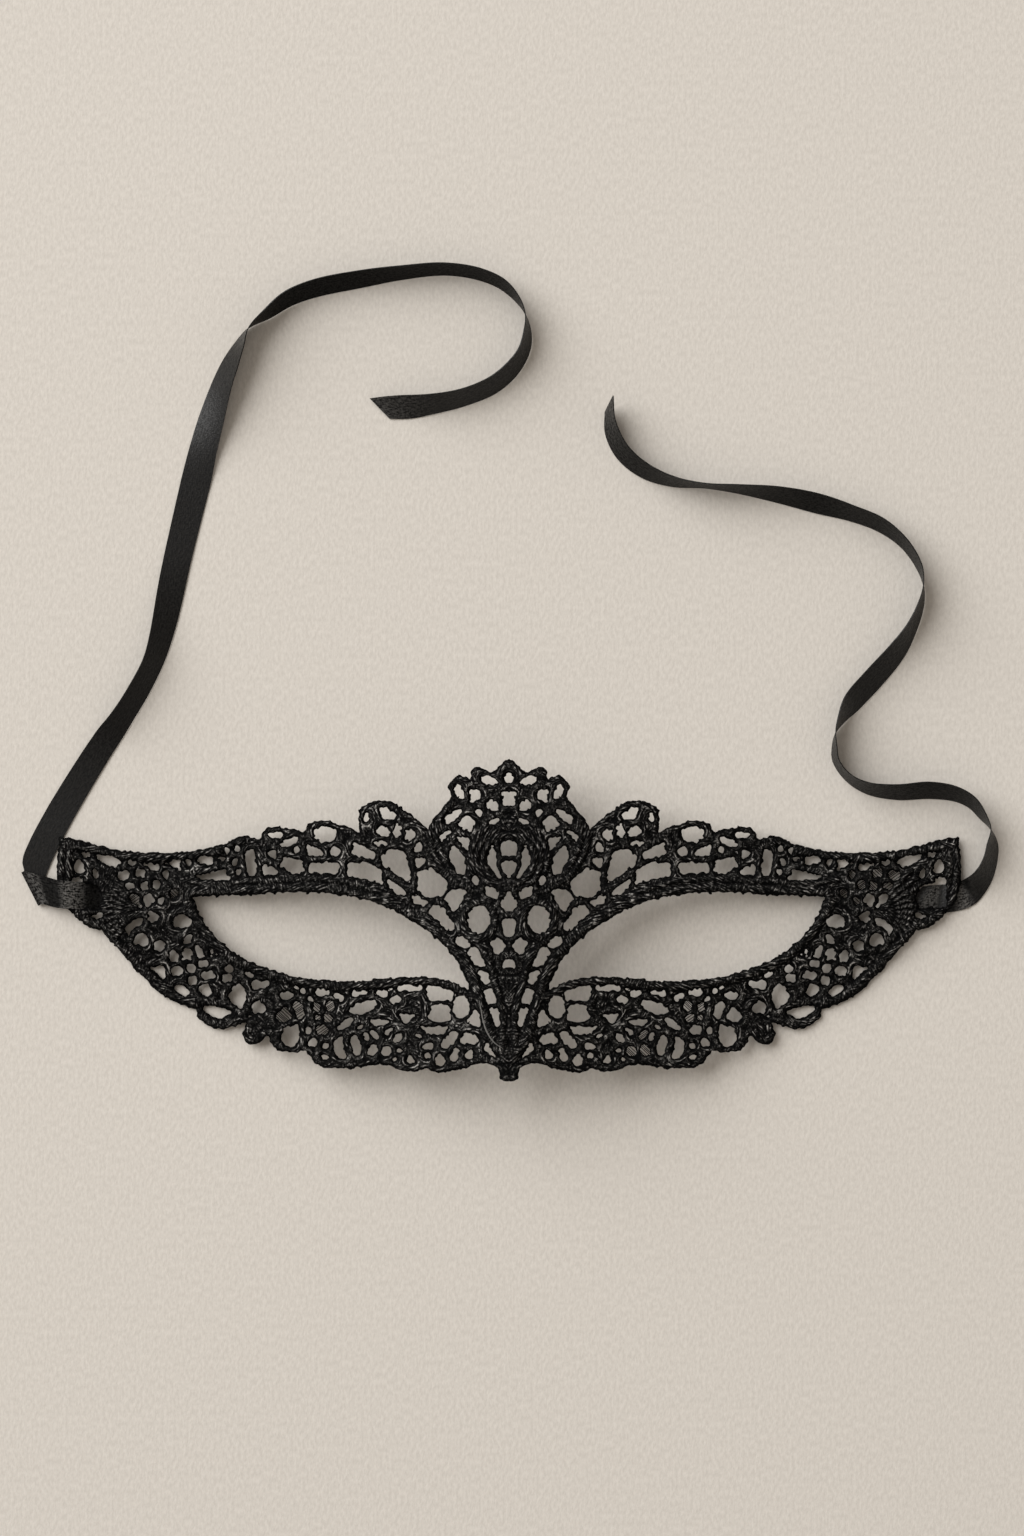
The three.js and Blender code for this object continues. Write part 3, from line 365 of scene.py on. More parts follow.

# Each ribbon has a shiny face and a duller back: which side of its lines across is the
# face (1 or -1), the specular levels of the face and the back, and the puckers where it
# is sewn, which also carry painted sheen as pale specks: from and to along it, where one
# shows brightest, their spacing and slope; and how much painted sheen shows at the cut tip
SATIN = {
    "ribbon_left": {"face": 1, "levels": (0.24, 0.05), "puckers": (4, 24, 13.2, 8.5, -0.25), "tip": 0.38},
    "ribbon_right": {"face": -1, "levels": (0.24, 0.11), "puckers": (1, 17, 4.6, 8.1, 0.4), "tip": 0.2},
}

# Raised cords of one half that follow no opening: width at the start and at the end,
# then the middle line
EXTRA_CORDS = {
    "tabBandOuter": [2.1, 2.1, [[111.4, 19.8], [111.9, 15], [111.9, 11], [110.6, 5], [107.4, 1.4]]],
    "tabBandInner": [2.1, 2.1, [[109.6, 19.6], [110, 15], [109.9, 11], [108.6, 5.6], [105.8, 0.9]]],
    "topBorder": [
        2.6, 2.6,
        [
            [111, 18.8], [106, 18.2], [101, 16.9], [95, 15.8], [88, 15.5], [82, 15.9], [78, 16.5],
            [73, 17.3], [70, 18.5], [67, 19.6],
        ],
    ],
    "cheekBorder": [
        2.8, 2.8,
        [
            [108.5, 1.2], [104, -0.6], [101, -2], [97.5, -6.4], [92.5, -11.5], [88, -15.6], [83.5, -18.8],
            [78, -20.8],
        ],
    ],
    "noseFoot": [2.2, 2.2, [[5.7, -28.3], [4.3, -30.7], [2.3, -32.2], [0, -32.8]]],
    "innerCrest": [1.3, 1.3, [[17.6, 22.5], [16.9, 17], [14.9, 13], [12.2, 10]]],
    "outerCrest": [
        1.4, 1.4, [[14.2, 29.6], [17.2, 25], [18, 21], [17, 17], [14.8, 13], [11.8, 10], [8.6, 8.4]],
    ],
}
# The threads of the leaf on the tab: the point that they spread from, their reach,
# how many there are and the slopes, in degrees, of the first and the last
LEAF = {"point": [91.5, 2], "reach": [3.2, 13.5], "count": 10, "slopes": [50, -42], "widths": [0.5, 2]}
# Rings of cord: centre, half width, half height and cord width
RINGS = [
    [7.45, 0.05, 3.9, 4.4, 2.2], [0, 15.2, 6.5, 6.3, 1.5], [0, 15.2, 8.1, 8.0, 1.5],
    [0, 15.2, 9.6, 9.6, 1.4],
]
# The one smooth, shiny thread, at the viewer's left of the foot of the nose
SHINY_THREAD = [[-7.5, -20], [-7, -22.2], [-6.5, -24.9], [-5.4, -28.2], [-3.7, -30.6], [-1.5, -32.2]]
SHINY_RADIUS = 0.18
SHINY_SIDES = 6
# Fine threads cross some small openings: the middle, width and height of each net
NETS = [
    [-44.7, -21.6, 3, 3.2], [-48, -21.7, 2.6, 2.7], [-47.9, -24.3, 2.1, 2.2], [-45.3, -24.7, 2.8, 2.7],
    [-46.6, -27.5, 3.7, 3], [-56.4, -23.8, 4.3, 4.3], [-52.9, -22.6, 3, 4.6], [44.7, -21.6, 3, 3.2],
    [48, -21.7, 2.6, 2.7], [47.9, -24.3, 2.1, 2.2], [45.3, -24.7, 2.8, 2.7], [30.8, -32.8, 3.2, 3],
    [33.6, -28.6, 3, 3.4], [34.2, -32.5, 3, 3.8], [96.2, 11.2, 3.5, 3.1], [92.2, 11.7, 3, 2.5],
    [94.7, 8.5, 2.8, 2.4], [91.2, 8.6, 2.7, 2.7], [88.1, 8.9, 2.5, 2.9], [85.8, 11.3, 2, 2.7],
    [83.7, 6.5, 2.2, 2.8], [86.9, 4.9, 1.9, 2.2], [-93.3, 4.8, 3, 3.6], [-83.7, 6.5, 2.2, 2.8],
]
NET_PITCH = 0.5
NET_RADIUS = 0.1
NET_SLOPES = (0.6, -0.75)
NET_LINES = 8
NET_SAG = 0.15
NET_JITTER = 0.3
# the crown share of the thin tubes' points, which dims the painted sheen on the net threads
TUBE_CROWN = 0.6


def curve_knots(points):
    """Centripetal knots: the square root of each step's length, summed."""
    steps = np.linalg.norm(np.diff(points, axis=0), axis=1)
    return np.concatenate([[0], np.cumsum(np.sqrt(steps))])


def through(points, step, knots=None):
    """A smooth open curve through the points, in steps of about the given length, with
    the place of each of its points in the list of the given ones."""
    p = np.array(points, float)
    k = curve_knots(p) if knots is None else np.array(knots, float)
    p = np.vstack([2 * p[0] - p[1], p, 2 * p[-1] - p[-2]])
    k = np.concatenate([[2 * k[0] - k[1]], k, [2 * k[-1] - k[-2]]])
    out, places = [], []
    for i in range(1, len(p) - 2):
        before, here, after = k[i] - k[i - 1], k[i + 1] - k[i], k[i + 2] - k[i + 1]
        slope = (p[i + 1] - p[i]) / here
        leave = (p[i] - p[i - 1]) / before - (p[i + 1] - p[i - 1]) / (before + here) + slope
        arrive = slope - (p[i + 2] - p[i]) / (here + after) + (p[i + 2] - p[i + 1]) / after
        count = max(2, math.ceil(np.linalg.norm(p[i + 1] - p[i]) / step))
        t = (np.arange(count) / count)[:, None]
        out.append((2 * t**3 - 3 * t**2 + 1) * p[i] + (t**3 - 2 * t**2 + t) * here * leave
                   + (3 * t**2 - 2 * t**3) * p[i + 1] + (t**3 - t**2) * here * arrive)
        places.append(i - 1 + t[:, 0])
    return np.vstack([*out, p[-2]]), np.concatenate([*places, [len(p) - 3]])


def smooth(points, step=CURVE_STEP):
    return through(points, step)[0]


def chain(runs):
    """One closed loop of curves: the last point of each is the first of the next."""
    return np.vstack([smooth(run)[:-1] for run in runs])


def mirrored(points):
    return np.array(points, float) * (-1, 1)


def oval(x, y, width, height, sides):
    angle = 2 * math.pi * (np.arange(sides) + 0.5) / sides
    return np.stack([x + width / 2 * np.cos(angle), y + height / 2 * np.sin(angle)], axis=1)


def rounded(corners, cut=CORNER_CUT):
    """A polygon with its corners cut off twice, by less the second time."""
    p = np.array(corners, float)
    for at_most in (cut, cut / 2):
        after = np.roll(p, -1, axis=0) - p
        length = np.linalg.norm(after, axis=1, keepdims=True)
        reach = np.minimum(length * CUT_SHARE, at_most) / length
        p = np.stack([p + after * reach, p + after * (1 - reach)], axis=1).reshape(-1, 2)
    return p


def slit(x1, y1, x2, y2, width):
    tip, end = np.array([x1, y1], float), np.array([x2, y2], float)
    along = end - tip
    side = np.array([-along[1], along[0]]) / np.linalg.norm(along) * width / 2
    places = [(0, 0), (0.2, 1), (0.5, 1.1), (0.8, 1), (1, 0), (0.8, -1), (0.5, -1.1), (0.2, -1)]
    return rounded([tip + along * u + side * v for u, v in places], SMALL_CORNER_CUT)


def small_opening(x, y, width, height):
    """A polygon as large as the oval, its corners a little rounded."""
    sides = min(max(round((width + height) / SMALL_SIDE) + 2, 4), 9)
    grow = 1 / math.sqrt(math.cos(math.pi / sides))
    return rounded(oval(x, y, width * grow, height * grow, sides), SMALL_CORNER_CUT)


def closed_on_middle(half):
    half = np.array(half, float)
    return np.vstack([half, mirrored(half[half[:, 0] > 0])[::-1]])


def lace_outline():
    """The flat edge of the whole lace."""
    half = chain(EDGE_RUNS.values())
    foot = np.array([EDGE_RUNS["stem"][-1]], float)
    return np.vstack([half, foot, mirrored(half[1:])[::-1]])


def lace_openings():
    """The openings of one half and those on the middle line."""
    found = [chain([UPPER_LID, LOWER_LID])]
    found += [small_opening(*numbers) for group in OVALS.values() for numbers in group]
    found += [slit(*numbers) for group in SLITS.values() for numbers in group]
    found += [rounded(corners) for group in PANES.values() for corners in group]
    found += [rounded(closed_on_middle(half)) for half in MIDDLE_OPENINGS]
    return found


def pieces_of(line, closed, widths=(0, 0)):
    """The straight pieces of a line: start, direction, length, distance along the line,
    and the width there."""
    start = line if closed else line[:-1]
    end = np.roll(line, -1, axis=0) if closed else line[1:]
    step = end - start
    length = np.linalg.norm(step, axis=1)
    keep = length > 1e-9
    start, step, length = start[keep], step[keep], length[keep]
    along = np.concatenate([[0], np.cumsum(length)[:-1]])
    width = widths[0] + (widths[1] - widths[0]) * (along + length / 2) / length.sum()
    return np.column_stack([start, step / length[:, None], length, along, width])


def signed_distance(loop, x, y):
    """How far each point lies outside a closed loop, less than 0 inside it."""
    far = np.full(x.shape, np.inf)
    crossings = np.zeros(x.shape, int)
    ends = np.roll(loop, -1, axis=0)
    for (x0, y0), (x1, y1) in zip(loop, ends):
        dx, dy = x1 - x0, y1 - y0
        t = np.clip(((x - x0) * dx + (y - y0) * dy) / max(dx * dx + dy * dy, 1e-12), 0, 1)
        far = np.minimum(far, np.hypot(x - x0 - t * dx, y - y0 - t * dy))
        if y0 != y1:
            spans = (y0 <= y) != (y1 <= y)
            crossings += spans & (x < x0 + (y - y0) * dx / dy)
    return np.where(crossings % 2 == 1, -far, far)


def window(points, xs, ys, reach):
    """The rows and the columns of the grid within reach of the points."""
    low, high = np.min(points, axis=0) - reach, np.max(points, axis=0) + reach
    columns, rows = np.searchsorted(xs, [low[0], high[0]]), np.searchsorted(ys, [low[1], high[1]])
    return slice(*rows), slice(*columns)


def two_nearest(loops, xs, ys, reach):
    """For each point of the grid, how far it is outside the nearest loop and outside the
    next one, at most the reach."""
    first = np.full((len(ys), len(xs)), float(reach))
    second = first.copy()
    for loop in loops:
        part = window(loop, xs, ys, reach)
        far = signed_distance(loop, *np.meshgrid(xs[part[1]], ys[part[0]]))
        second[part] = np.minimum(second[part], np.maximum(first[part], far))
        first[part] = np.minimum(first[part], far)
    return first, second


def nearest(pieces, xs, ys, reach):
    """For each point of the grid, the distance to the nearest piece and its number."""
    far = np.full((len(ys), len(xs)), float(reach))
    which = np.full(far.shape, -1)
    for number, (x, y, tx, ty, length, _, _) in enumerate(pieces):
        part = window([(x, y), (x + tx * length, y + ty * length)], xs, ys, reach)
        dx, dy = xs[None, part[1]] - x, ys[part[0], None] - y
        t = np.clip(dx * tx + dy * ty, 0, length)
        distance = np.hypot(dx - t * tx, dy - t * ty)
        closer = distance < far[part]
        far[part][closer] = distance[closer]
        which[part][closer] = number
    return far, which


def round_top(share):
    """The height of a round cord's back at a share (0 to 1) of its half width."""
    return np.sqrt(np.clip(1 - np.clip(share, 0, 1) ** 2, 0, 1))


def lace_cords():
    """The straight pieces of every explicit cord of one half."""
    found = []
    for width, line in CORDS.values():
        found.append(pieces_of(smooth(line, CORD_STEP), False, (width, width)))
    for start, end, line in EXTRA_CORDS.values():
        found.append(pieces_of(smooth(line, CORD_STEP), False, (start, end)))
    for slope in np.radians(np.linspace(*LEAF["slopes"], LEAF["count"])):
        reach = np.linspace(*LEAF["reach"], 20)[:, None]
        line = np.array(LEAF["point"]) + reach * (math.cos(slope), math.sin(slope))
        found.append(pieces_of(line, False, LEAF["widths"]))
    for x, y, rx, ry, width in RINGS:
        found.append(pieces_of(oval(x, y, 2 * rx, 2 * ry, RING_SIDES), True, (width, width)))
    return np.vstack(found)


def smoothstep(value, low, high):
    t = np.clip((value - low) / (high - low), 0, 1)
    return t * t * (3 - 2 * t)


def rise(x, y):
    """How high the underside of the lace stands over the table."""
    out = np.abs(x)
    half_span = (CHEEK_HALF_SPAN
                 + (EYE_HALF_SPAN - CHEEK_HALF_SPAN) * smoothstep(y, CHEEK_EDGE, CHEEK_TOP))
    half_span -= (EYE_HALF_SPAN - TEMPLE_HALF_SPAN) * smoothstep(y, TEMPLE_BOTTOM, TEMPLE_EDGE)
    across = np.minimum(out / half_span, 1)
    arch = ARCH_HEIGHT * (1 - across) ** ARCH_FALL * (1 + ARCH_FALL * across)
    nose = NOSE_RISE * np.exp(-((x / NOSE_HALF_WIDTH) ** 2)) * (1 - smoothstep(y, NOSE_FULL, NOSE_TOP))
    tab = smoothstep(out, TAB_LIFT_START, TAB_LIFT_END) * smoothstep(y, TAB_LIFT_FOOT, TAB_LIFT_FULL)
    return arch + nose + TAB_LIFT * tab


def placed(x, y, z):
    """The places, in metres, of points that are seen at x, y and stand at height z."""
    nearer = 1 - z / VIEW_HEIGHT
    px = VIEW_POINT[0] + (x - VIEW_POINT[0]) * nearer
    py = VIEW_POINT[1] + (y - VIEW_POINT[1]) * nearer - MIDDLE
    return np.stack([px, py, z], axis=-1) * MM


def lace_field(rng):
    """The grid over one half, the distance into the lace at each of its points, the
    height of the lace's face and back there, how near it is to a cord's crown (0 to 1),
    and the line that its threads follow."""
    xs = np.arange(0, GRID_END, GRID)
    ys = np.arange(GRID_BOTTOM, GRID_TOP, GRID)
    outline, openings = lace_outline(), lace_openings()
    first, second = two_nearest(openings, xs, ys, OPENING_REACH)
    gx, gy = np.meshgrid(xs, ys)
    inward = -signed_distance(outline, gx, gy)
    # an opening spreads until it meets a bar, which is left between it and the next, but
    # the hem's openings are closer worked and stay as they are
    to_next = np.minimum(second, inward)
    hem = smoothstep(-gy, *HEM_DOWN) * smoothstep(gx, *HEM_OUT) * (1 - smoothstep(gx, *HEM_IN))
    growth = OPENING_GROWTH * (1 - hem)
    depth = np.maximum(first - growth, (BAR_WIDTH - np.abs(to_next - first)) / 2)
    depth = np.minimum(np.where(first < -growth, first, depth), inward)
    rough = rng.uniform(-1, 1, depth.shape)
    rough += np.roll(rough, 1, axis=0)
    rough += np.roll(rough, 1, axis=1)
    fuzzy = depth + FUZZY_EDGE * rough * (np.abs(depth) < 1.5 * GRID)
    # the fuzz leaves a thin bar its core
    depth = np.where(depth > BAR_CORE, np.maximum(fuzzy, BAR_CORE / 2), fuzzy)

    edges = np.vstack([pieces_of(loop, True) for loop in (outline, *openings)])
    edges = edges[edges[:, 0] > PAST_MIDDLE]
    _, edge = nearest(edges, xs, ys, EDGE_REACH)
    cords = lace_cords()
    from_cord, cord = nearest(cords, xs, ys, CORD_REACH)

    ripple = np.abs(np.mod(depth, CORD_PITCH) - CORD_PITCH / 2) / (CORD_PITCH / 2)
    raw = LACE_THICKNESS - GROOVE * (1 - round_top(ripple)) * (depth > CORD_PITCH / 2)
    share = from_cord / np.maximum(cords[cord, 6] / 2, 1e-6)
    on_cord = (cord >= 0) & (share < 1)
    back = LACE_THICKNESS - GROOVE + (GROOVE + CORD_RISE) * round_top(share)
    raw = np.where(on_cord, back, raw)
    middle = LACE_THICKNESS / 2
    rounding = round_top(1 - np.clip(depth / EDGE_ROUND, 0, 1))
    crown = np.where(on_cord, round_top(share), round_top(ripple)) * rounding
    top = middle + (raw - middle) * rounding
    bottom = middle - middle * rounding
    lines = np.vstack([edges, cords])
    follow = np.where(on_cord, cord + len(edges), edge)
    depth[depth == 0] = 1e-6
    return xs, ys, depth, top, bottom, crown, lines, follow


def cut_share(start, end):
    """Where along a side of a cell the edge of the lace crosses it, off its corners."""
    return np.clip(start / (start - end), 0.03, 0.97)


def half_lace(rng):
    """The lace of one half as flat points, heights, faces and the stitches' lines: the
    cells of the grid, cut along the edge of the lace."""
    xs, ys, field, top, bottom, crown, lines, follow = lace_field(rng)
    inside = field > 0
    gx, gy = np.meshgrid(xs, ys)
    count = 0

    def numbered(mask):
        nonlocal count
        ids = np.full(mask.shape, -1)
        ids[mask] = count + np.arange(mask.sum())
        count += int(mask.sum())
        return ids

    nodes = numbered(inside)
    flat = inside[:, 1:] != inside[:, :-1]
    upright = inside[1:] != inside[:-1]
    on_flat, on_upright = numbered(flat), numbered(upright)
    share_flat = cut_share(field[:, :-1][flat], field[:, 1:][flat])
    share_upright = cut_share(field[:-1][upright], field[1:][upright])
    x = np.concatenate([gx[inside], gx[:, :-1][flat] + GRID * share_flat, gx[:-1][upright]])
    y = np.concatenate([gy[inside], gy[:, :-1][flat], gy[:-1][upright] + GRID * share_upright])
    edge_count = len(x) - int(inside.sum())
    middle = np.full(edge_count, LACE_THICKNESS / 2)
    high = np.concatenate([top[inside], middle])
    low = np.concatenate([bottom[inside], middle])
    crown = np.concatenate([crown[inside], np.zeros(edge_count)])

    corner = [nodes[:-1, :-1], nodes[:-1, 1:], nodes[1:, 1:], nodes[1:, :-1]]
    side = [on_flat[:-1], on_upright[:, 1:], on_flat[1:], on_upright[:, :-1]]
    followed = [follow[:-1, :-1], follow[:-1, 1:], follow[1:, 1:], follow[1:, :-1]]
    kind = sum((c >= 0).astype(int) << k for k, c in enumerate(corner))
    faces, owners = [], []
    for case in range(1, 16):
        cells = kind == case
        if not cells.any():
            continue
        ring = []
        first = next(k for k in range(4) if case >> k & 1)
        for k in (*range(first, 4), *range(first)):
            is_in, next_in = case >> k & 1, case >> (k + 1) % 4 & 1
            if is_in:
                ring.append(corner[k][cells])
            if is_in != next_in:
                ring.append(side[k][cells])
        ring = np.stack(ring, axis=1)
        near = np.max([f[cells] for f in followed], axis=0)
        if ring.shape[1] == 4:
            faces.append(ring)
            owners.append(near)
            continue
        for k in range(1, ring.shape[1] - 1):
            faces.append(np.column_stack([ring[:, [0, k, k + 1]], np.full(len(ring), -1)]))
            owners.append(near)
    faces, owners = np.vstack(faces), np.concatenate(owners)
    return x, y, high, low, crown, int(inside.sum()), faces, owners, lines


def new_object(name, points, faces, material, smooth_shading=True):
    mesh = bpy.data.meshes.new(name)
    mesh.from_pydata(points, [], faces)
    mesh.validate()
    mesh.polygons.foreach_set("use_smooth", [smooth_shading] * len(mesh.polygons))
    mesh.materials.append(material)
    obj = bpy.data.objects.new(name, mesh)
    scene.collection.objects.link(obj)
    return obj


def turned(faces):
    """The faces with their corners the other way round; a triangle ends with -1."""
    triangles = np.column_stack([faces[:, 2::-1], faces[:, 3:]])
    return np.where(faces[:, 3:] >= 0, faces[:, ::-1], triangles)


def tube(flat, heights, radius, sides):
    """A thin tube with closed ends: its points, as the lace's are given, and its faces."""
    along = unit(np.gradient(flat, axis=0))
    across = np.column_stack([-along[:, 1], along[:, 0]])
    radius = np.broadcast_to(radius, len(flat))[:, None]
    angle = 2 * math.pi * np.arange(sides) / sides
    x = flat[:, :1] + across[:, :1] * radius * np.cos(angle)
    y = flat[:, 1:] + across[:, 1:] * radius * np.cos(angle)
    z = np.asarray(heights)[:, None] + radius * np.sin(angle)
    faces = []
    for start in range(0, (len(flat) - 1) * sides, sides):
        for k in range(sides):
            a, b = start + k, start + (k + 1) % sides
            faces.append([a, b, b + sides, a + sides])
    last = (len(flat) - 1) * sides
    for k in range(1, sides - 1):
        faces += [[0, k + 1, k, -1], [last, last + k, last + k + 1, -1]]
    points = np.stack([x, y, z, np.full(x.shape, TUBE_CROWN)], axis=-1)
    return points.reshape(-1, 4), np.array(faces)


def shiny_thread(surface):
    """The smooth thread, as a tube that lies on the lace."""
    flat = smooth(SHINY_THREAD, CORD_STEP)
    x, y, high, _ = surface.T
    below = [high[np.argmin(np.hypot(x + px, y - py))] for px, py in flat]
    below = np.convolve(np.pad(below, 2, mode="edge"), np.full(5, 0.2), mode="valid")
    taper = np.sqrt(np.sin(np.linspace(0.05, math.pi - 0.05, len(flat))))
    return tube(flat, below, SHINY_RADIUS * taper, SHINY_SIDES)


def net_threads():
    """The fine threads across some openings, each as a sagging tube of two lengths."""
    found = []
    for number, (x, y, width, height) in enumerate(NETS):
        slope = NET_SLOPES[number % len(NET_SLOPES)]
        axes = np.array([width, height]) / 2
        along = np.array([math.cos(slope), math.sin(slope)])
        beside = np.array([-along[1], along[0]])
        for k in range(-NET_LINES, NET_LINES + 1):
            offset = NET_PITCH * (k + NET_JITTER * math.sin(5 * k + number))
            # where a line at this offset meets the oval
            a = np.sum((along / axes) ** 2)
            b = offset * np.sum(along * beside / axes**2)
            c = offset**2 * np.sum((beside / axes) ** 2) - 1
            if b * b <= a * c:
                continue
            reach = np.array([-1, 0, 1]) * math.sqrt(b * b - a * c) / a - b / a
            flat = np.array([x, y]) + offset * beside + reach[:, None] * along
            level = LACE_THICKNESS / 2 + NET_SAG * math.sin(3 * k + number)
            found.append(tube(flat, [level, level - NET_SAG, level], NET_RADIUS, 4))
    return found


def make_lace(materials, rng):
    x, y, high, low, crown, inner, faces, owners, lines = half_lace(rng)
    # a point is x, y, the height over rise(x, y) and the crown; the underside has its own
    # copy of the inner points and shares the edge's
    surface, under = (np.column_stack([x, y, z, crown]) for z in (high, low))
    points = np.vstack([surface, under[:inner]])
    below = np.concatenate([len(x) + np.arange(inner), np.arange(inner, len(x))])
    half = np.vstack([faces, turned(np.where(faces >= 0, below[faces], -1))])
    # the other half shares the points on the middle line
    on_middle = points[:, 0] < 1e-6
    other = np.where(on_middle, np.arange(len(points)), len(points) + np.cumsum(~on_middle) - 1)
    points = np.vstack([points, points[~on_middle] * (-1, 1, 1, 1)])
    all_faces = np.vstack([half, turned(np.where(half >= 0, other[half], -1))])
    owner = np.tile(owners, 4)
    shiny = shiny_thread(surface[:inner])
    for corners, sides in (*net_threads(), shiny):
        all_faces = np.vstack([all_faces, np.where(sides >= 0, sides + len(points), -1)])
        points = np.vstack([points, corners])
    owner = np.concatenate([owner, np.zeros(len(all_faces) - len(owner), int)])
    x, y, z, crown = points.T
    polygons = [face[:3] if face[3] < 0 else face for face in all_faces.tolist()]
    places = placed(x, y, z + rise(x, y)).tolist()
    obj = new_object("lace_openwork", places, polygons, materials[0])
    mesh = obj.data
    mesh.materials.append(materials[1])
    is_thread = np.arange(len(all_faces)) >= len(all_faces) - len(shiny[1])
    mesh.polygons.foreach_set("material_index", is_thread.astype(int).tolist())
    # where each corner lies along and beside the line that its stitches cross, and how
    # near it is to a cord's crown, which places the lace's painted sheen and painted shade
    sizes = np.where(all_faces[:, 3] < 0, 3, 4)
    loops = np.concatenate(polygons)
    line = lines[np.repeat(owner, sizes)]
    cx, cy = np.abs(x[loops]) - line[:, 0], y[loops] - line[:, 1]
    along = line[:, 5] + cx * line[:, 2] + cy * line[:, 3]
    beside = cy * line[:, 2] - cx * line[:, 3]
    stitch = mesh.attributes.new("stitch", "FLOAT_VECTOR", "CORNER")
    stitch.data.foreach_set("vector", np.column_stack([along, beside, crown[loops]]).ravel())
    return obj


def ruling_ends(line):
    """The two ends, in metres, of one line across a ribbon."""
    ax, ay, bx, by, lean = line[:5]
    low = line[5] if len(line) > 5 else RIBBON_REST
    seen = math.hypot(bx - ax, by - ay)
    lift = abs(lean) * math.sqrt(max(RIBBON_WIDTH**2 - seen**2, 0))
    a = placed(ax, ay, low + (lift if lean > 0 else 0))
    b = placed(bx, by, low + (lift if lean < 0 else 0))
    return np.concatenate([a, b])


def unit(vectors):
    return vectors / np.linalg.norm(vectors, axis=-1, keepdims=True)


def make_ribbon(name, lines, face_side, materials):
    """A thin band through its lines across, and the middle line that it follows."""
    ends = np.array([ruling_ends(line) for line in lines])
    # (a small drift keeps two middles in one place apart)
    middles = (ends[:, :3] + ends[:, 3:]) / 2 + 1e-5 * np.arange(len(ends))[:, None]
    widths = np.linalg.norm(ends[:, 3:] - ends[:, :3], axis=1)
    # both ends move together, which makes each step of the six numbers 1.4 times as long
    fine, place = through(ends, RIBBON_STEP * MM * 1.4, curve_knots(middles))
    across = unit(fine[:, 3:] - fine[:, :3])
    middle = (fine[:, :3] + fine[:, 3:]) / 2
    width = np.interp(place, np.arange(len(ends)), widths)[:, None]
    along = unit(np.gradient(middle, axis=0))
    normal = unit(np.cross(along, across))
    half_thick = RIBBON_THICKNESS * MM / 2
    shares = np.linspace(-1, 1, RIBBON_COLUMNS)
    rows = [middle + across * width / 2 * w for w in shares]
    ring = [r + normal * half_thick for r in rows] + [r - normal * half_thick for r in rows[::-1]]
    points = np.stack(ring, axis=1)
    lift = np.maximum(RIBBON_CLEARANCE * MM - points[:, :, 2].min(axis=1), 0)
    points[:, :, 2] += lift[:, None]
    middle[:, 2] += lift
    sections, size = points.shape[:2]
    faces, is_back = [], []
    back_strips = range(RIBBON_COLUMNS, size - 1) if face_side > 0 else range(RIBBON_COLUMNS - 1)
    for s in range(sections - 1):
        for k in range(size):
            a, b = s * size + k, s * size + (k + 1) % size
            faces.append([a, b, b + size, a + size])
            is_back.append(int(k in back_strips))
    for first, turn in ((0, 1), ((sections - 1) * size, -1)):
        for k in range(RIBBON_COLUMNS - 1):
            quad = [first + k, first + size - 1 - k, first + size - 2 - k, first + k + 1]
            faces.append(quad[::turn])
            is_back.append(0)
    obj = new_object(name, points.reshape(-1, 3).tolist(), faces, materials[0])
    obj.data.materials.append(materials[1])
    obj.data.polygons.foreach_set("material_index", is_back)
    obj.data.set_sharp_from_angle(angle=math.radians(40))
    # the weave's place on each point: along and across the ribbon, and from the cut tip
    distance = np.concatenate([[0], np.cumsum(np.linalg.norm(np.diff(middle, axis=0), axis=1))])
    beside = np.concatenate([shares, shares[::-1]])
    weave = np.zeros((sections, size, 3))
    weave[:, :, 0] = distance[:, None] / MM
    weave[:, :, 1] = beside[None] * RIBBON_WIDTH / 2
    weave[:, :, 2] = (distance[-1] - distance[:, None]) / MM
    data = obj.data.attributes.new("weave", "FLOAT_VECTOR", "POINT")
    data.data.foreach_set("vector", weave.ravel())
    return obj, middle, float(distance[-1])


class Nodes:
    """A material's nodes, made and joined by short calls."""

    def __init__(self, name):
        self.material = bpy.data.materials.new(name)
        self.material.use_nodes = True
        self.tree = self.material.node_tree
        self.shader = self.tree.nodes["Principled BSDF"]

    def add(self, kind, inputs=None, **settings):
        node = self.tree.nodes.new("ShaderNode" + kind)
        for key, value in settings.items():
            setattr(node, key, value)
        for key, value in (inputs or {}).items():
            self.put(node.inputs[key], value)
        return node

    def put(self, socket, value):
        if isinstance(value, bpy.types.NodeSocket):
            self.tree.links.new(value, socket)
        else:
            socket.default_value = value

    def math(self, operation, a, b=0.0):
        return self.add("Math", {0: a, 1: b}, operation=operation).outputs[0]

    def times(self, a, b):
        return self.math("MULTIPLY", a, b)

    def scaled(self, vector, factors):
        return self.add("VectorMath", {0: vector, 1: factors}, operation="MULTIPLY").outputs[0]

    def noise(self, vector, scale, detail=2.0, roughness=0.5):
        inputs = {"Vector": vector, "Scale": scale, "Detail": detail, "Roughness": roughness}
        return self.add("TexNoise", inputs).outputs["Fac"]

    def ramp(self, value, low, high, start=0.0, end=1.0):
        inputs = {"Value": value, "From Min": low, "From Max": high, "To Min": start, "To Max": end}
        return self.add("MapRange", inputs).outputs[0]

    def mix(self, share, a, b):
        node = self.add("Mix", data_type="RGBA")
        for key, value in (("Factor_Float", share), ("A_Color", a), ("B_Color", b)):
            self.put(next(s for s in node.inputs if s.identifier == key), value)
        return next(s for s in node.outputs if s.identifier == "Result_Color")

    def bump(self, height, distance, strength=1.0):
        inputs = {"Height": height, "Distance": distance, "Strength": strength}
        return self.add("Bump", inputs).outputs[0]

    def surface(self, inputs):
        for key, value in inputs.items():
            self.put(self.shader.inputs[key], value)
        return self.material


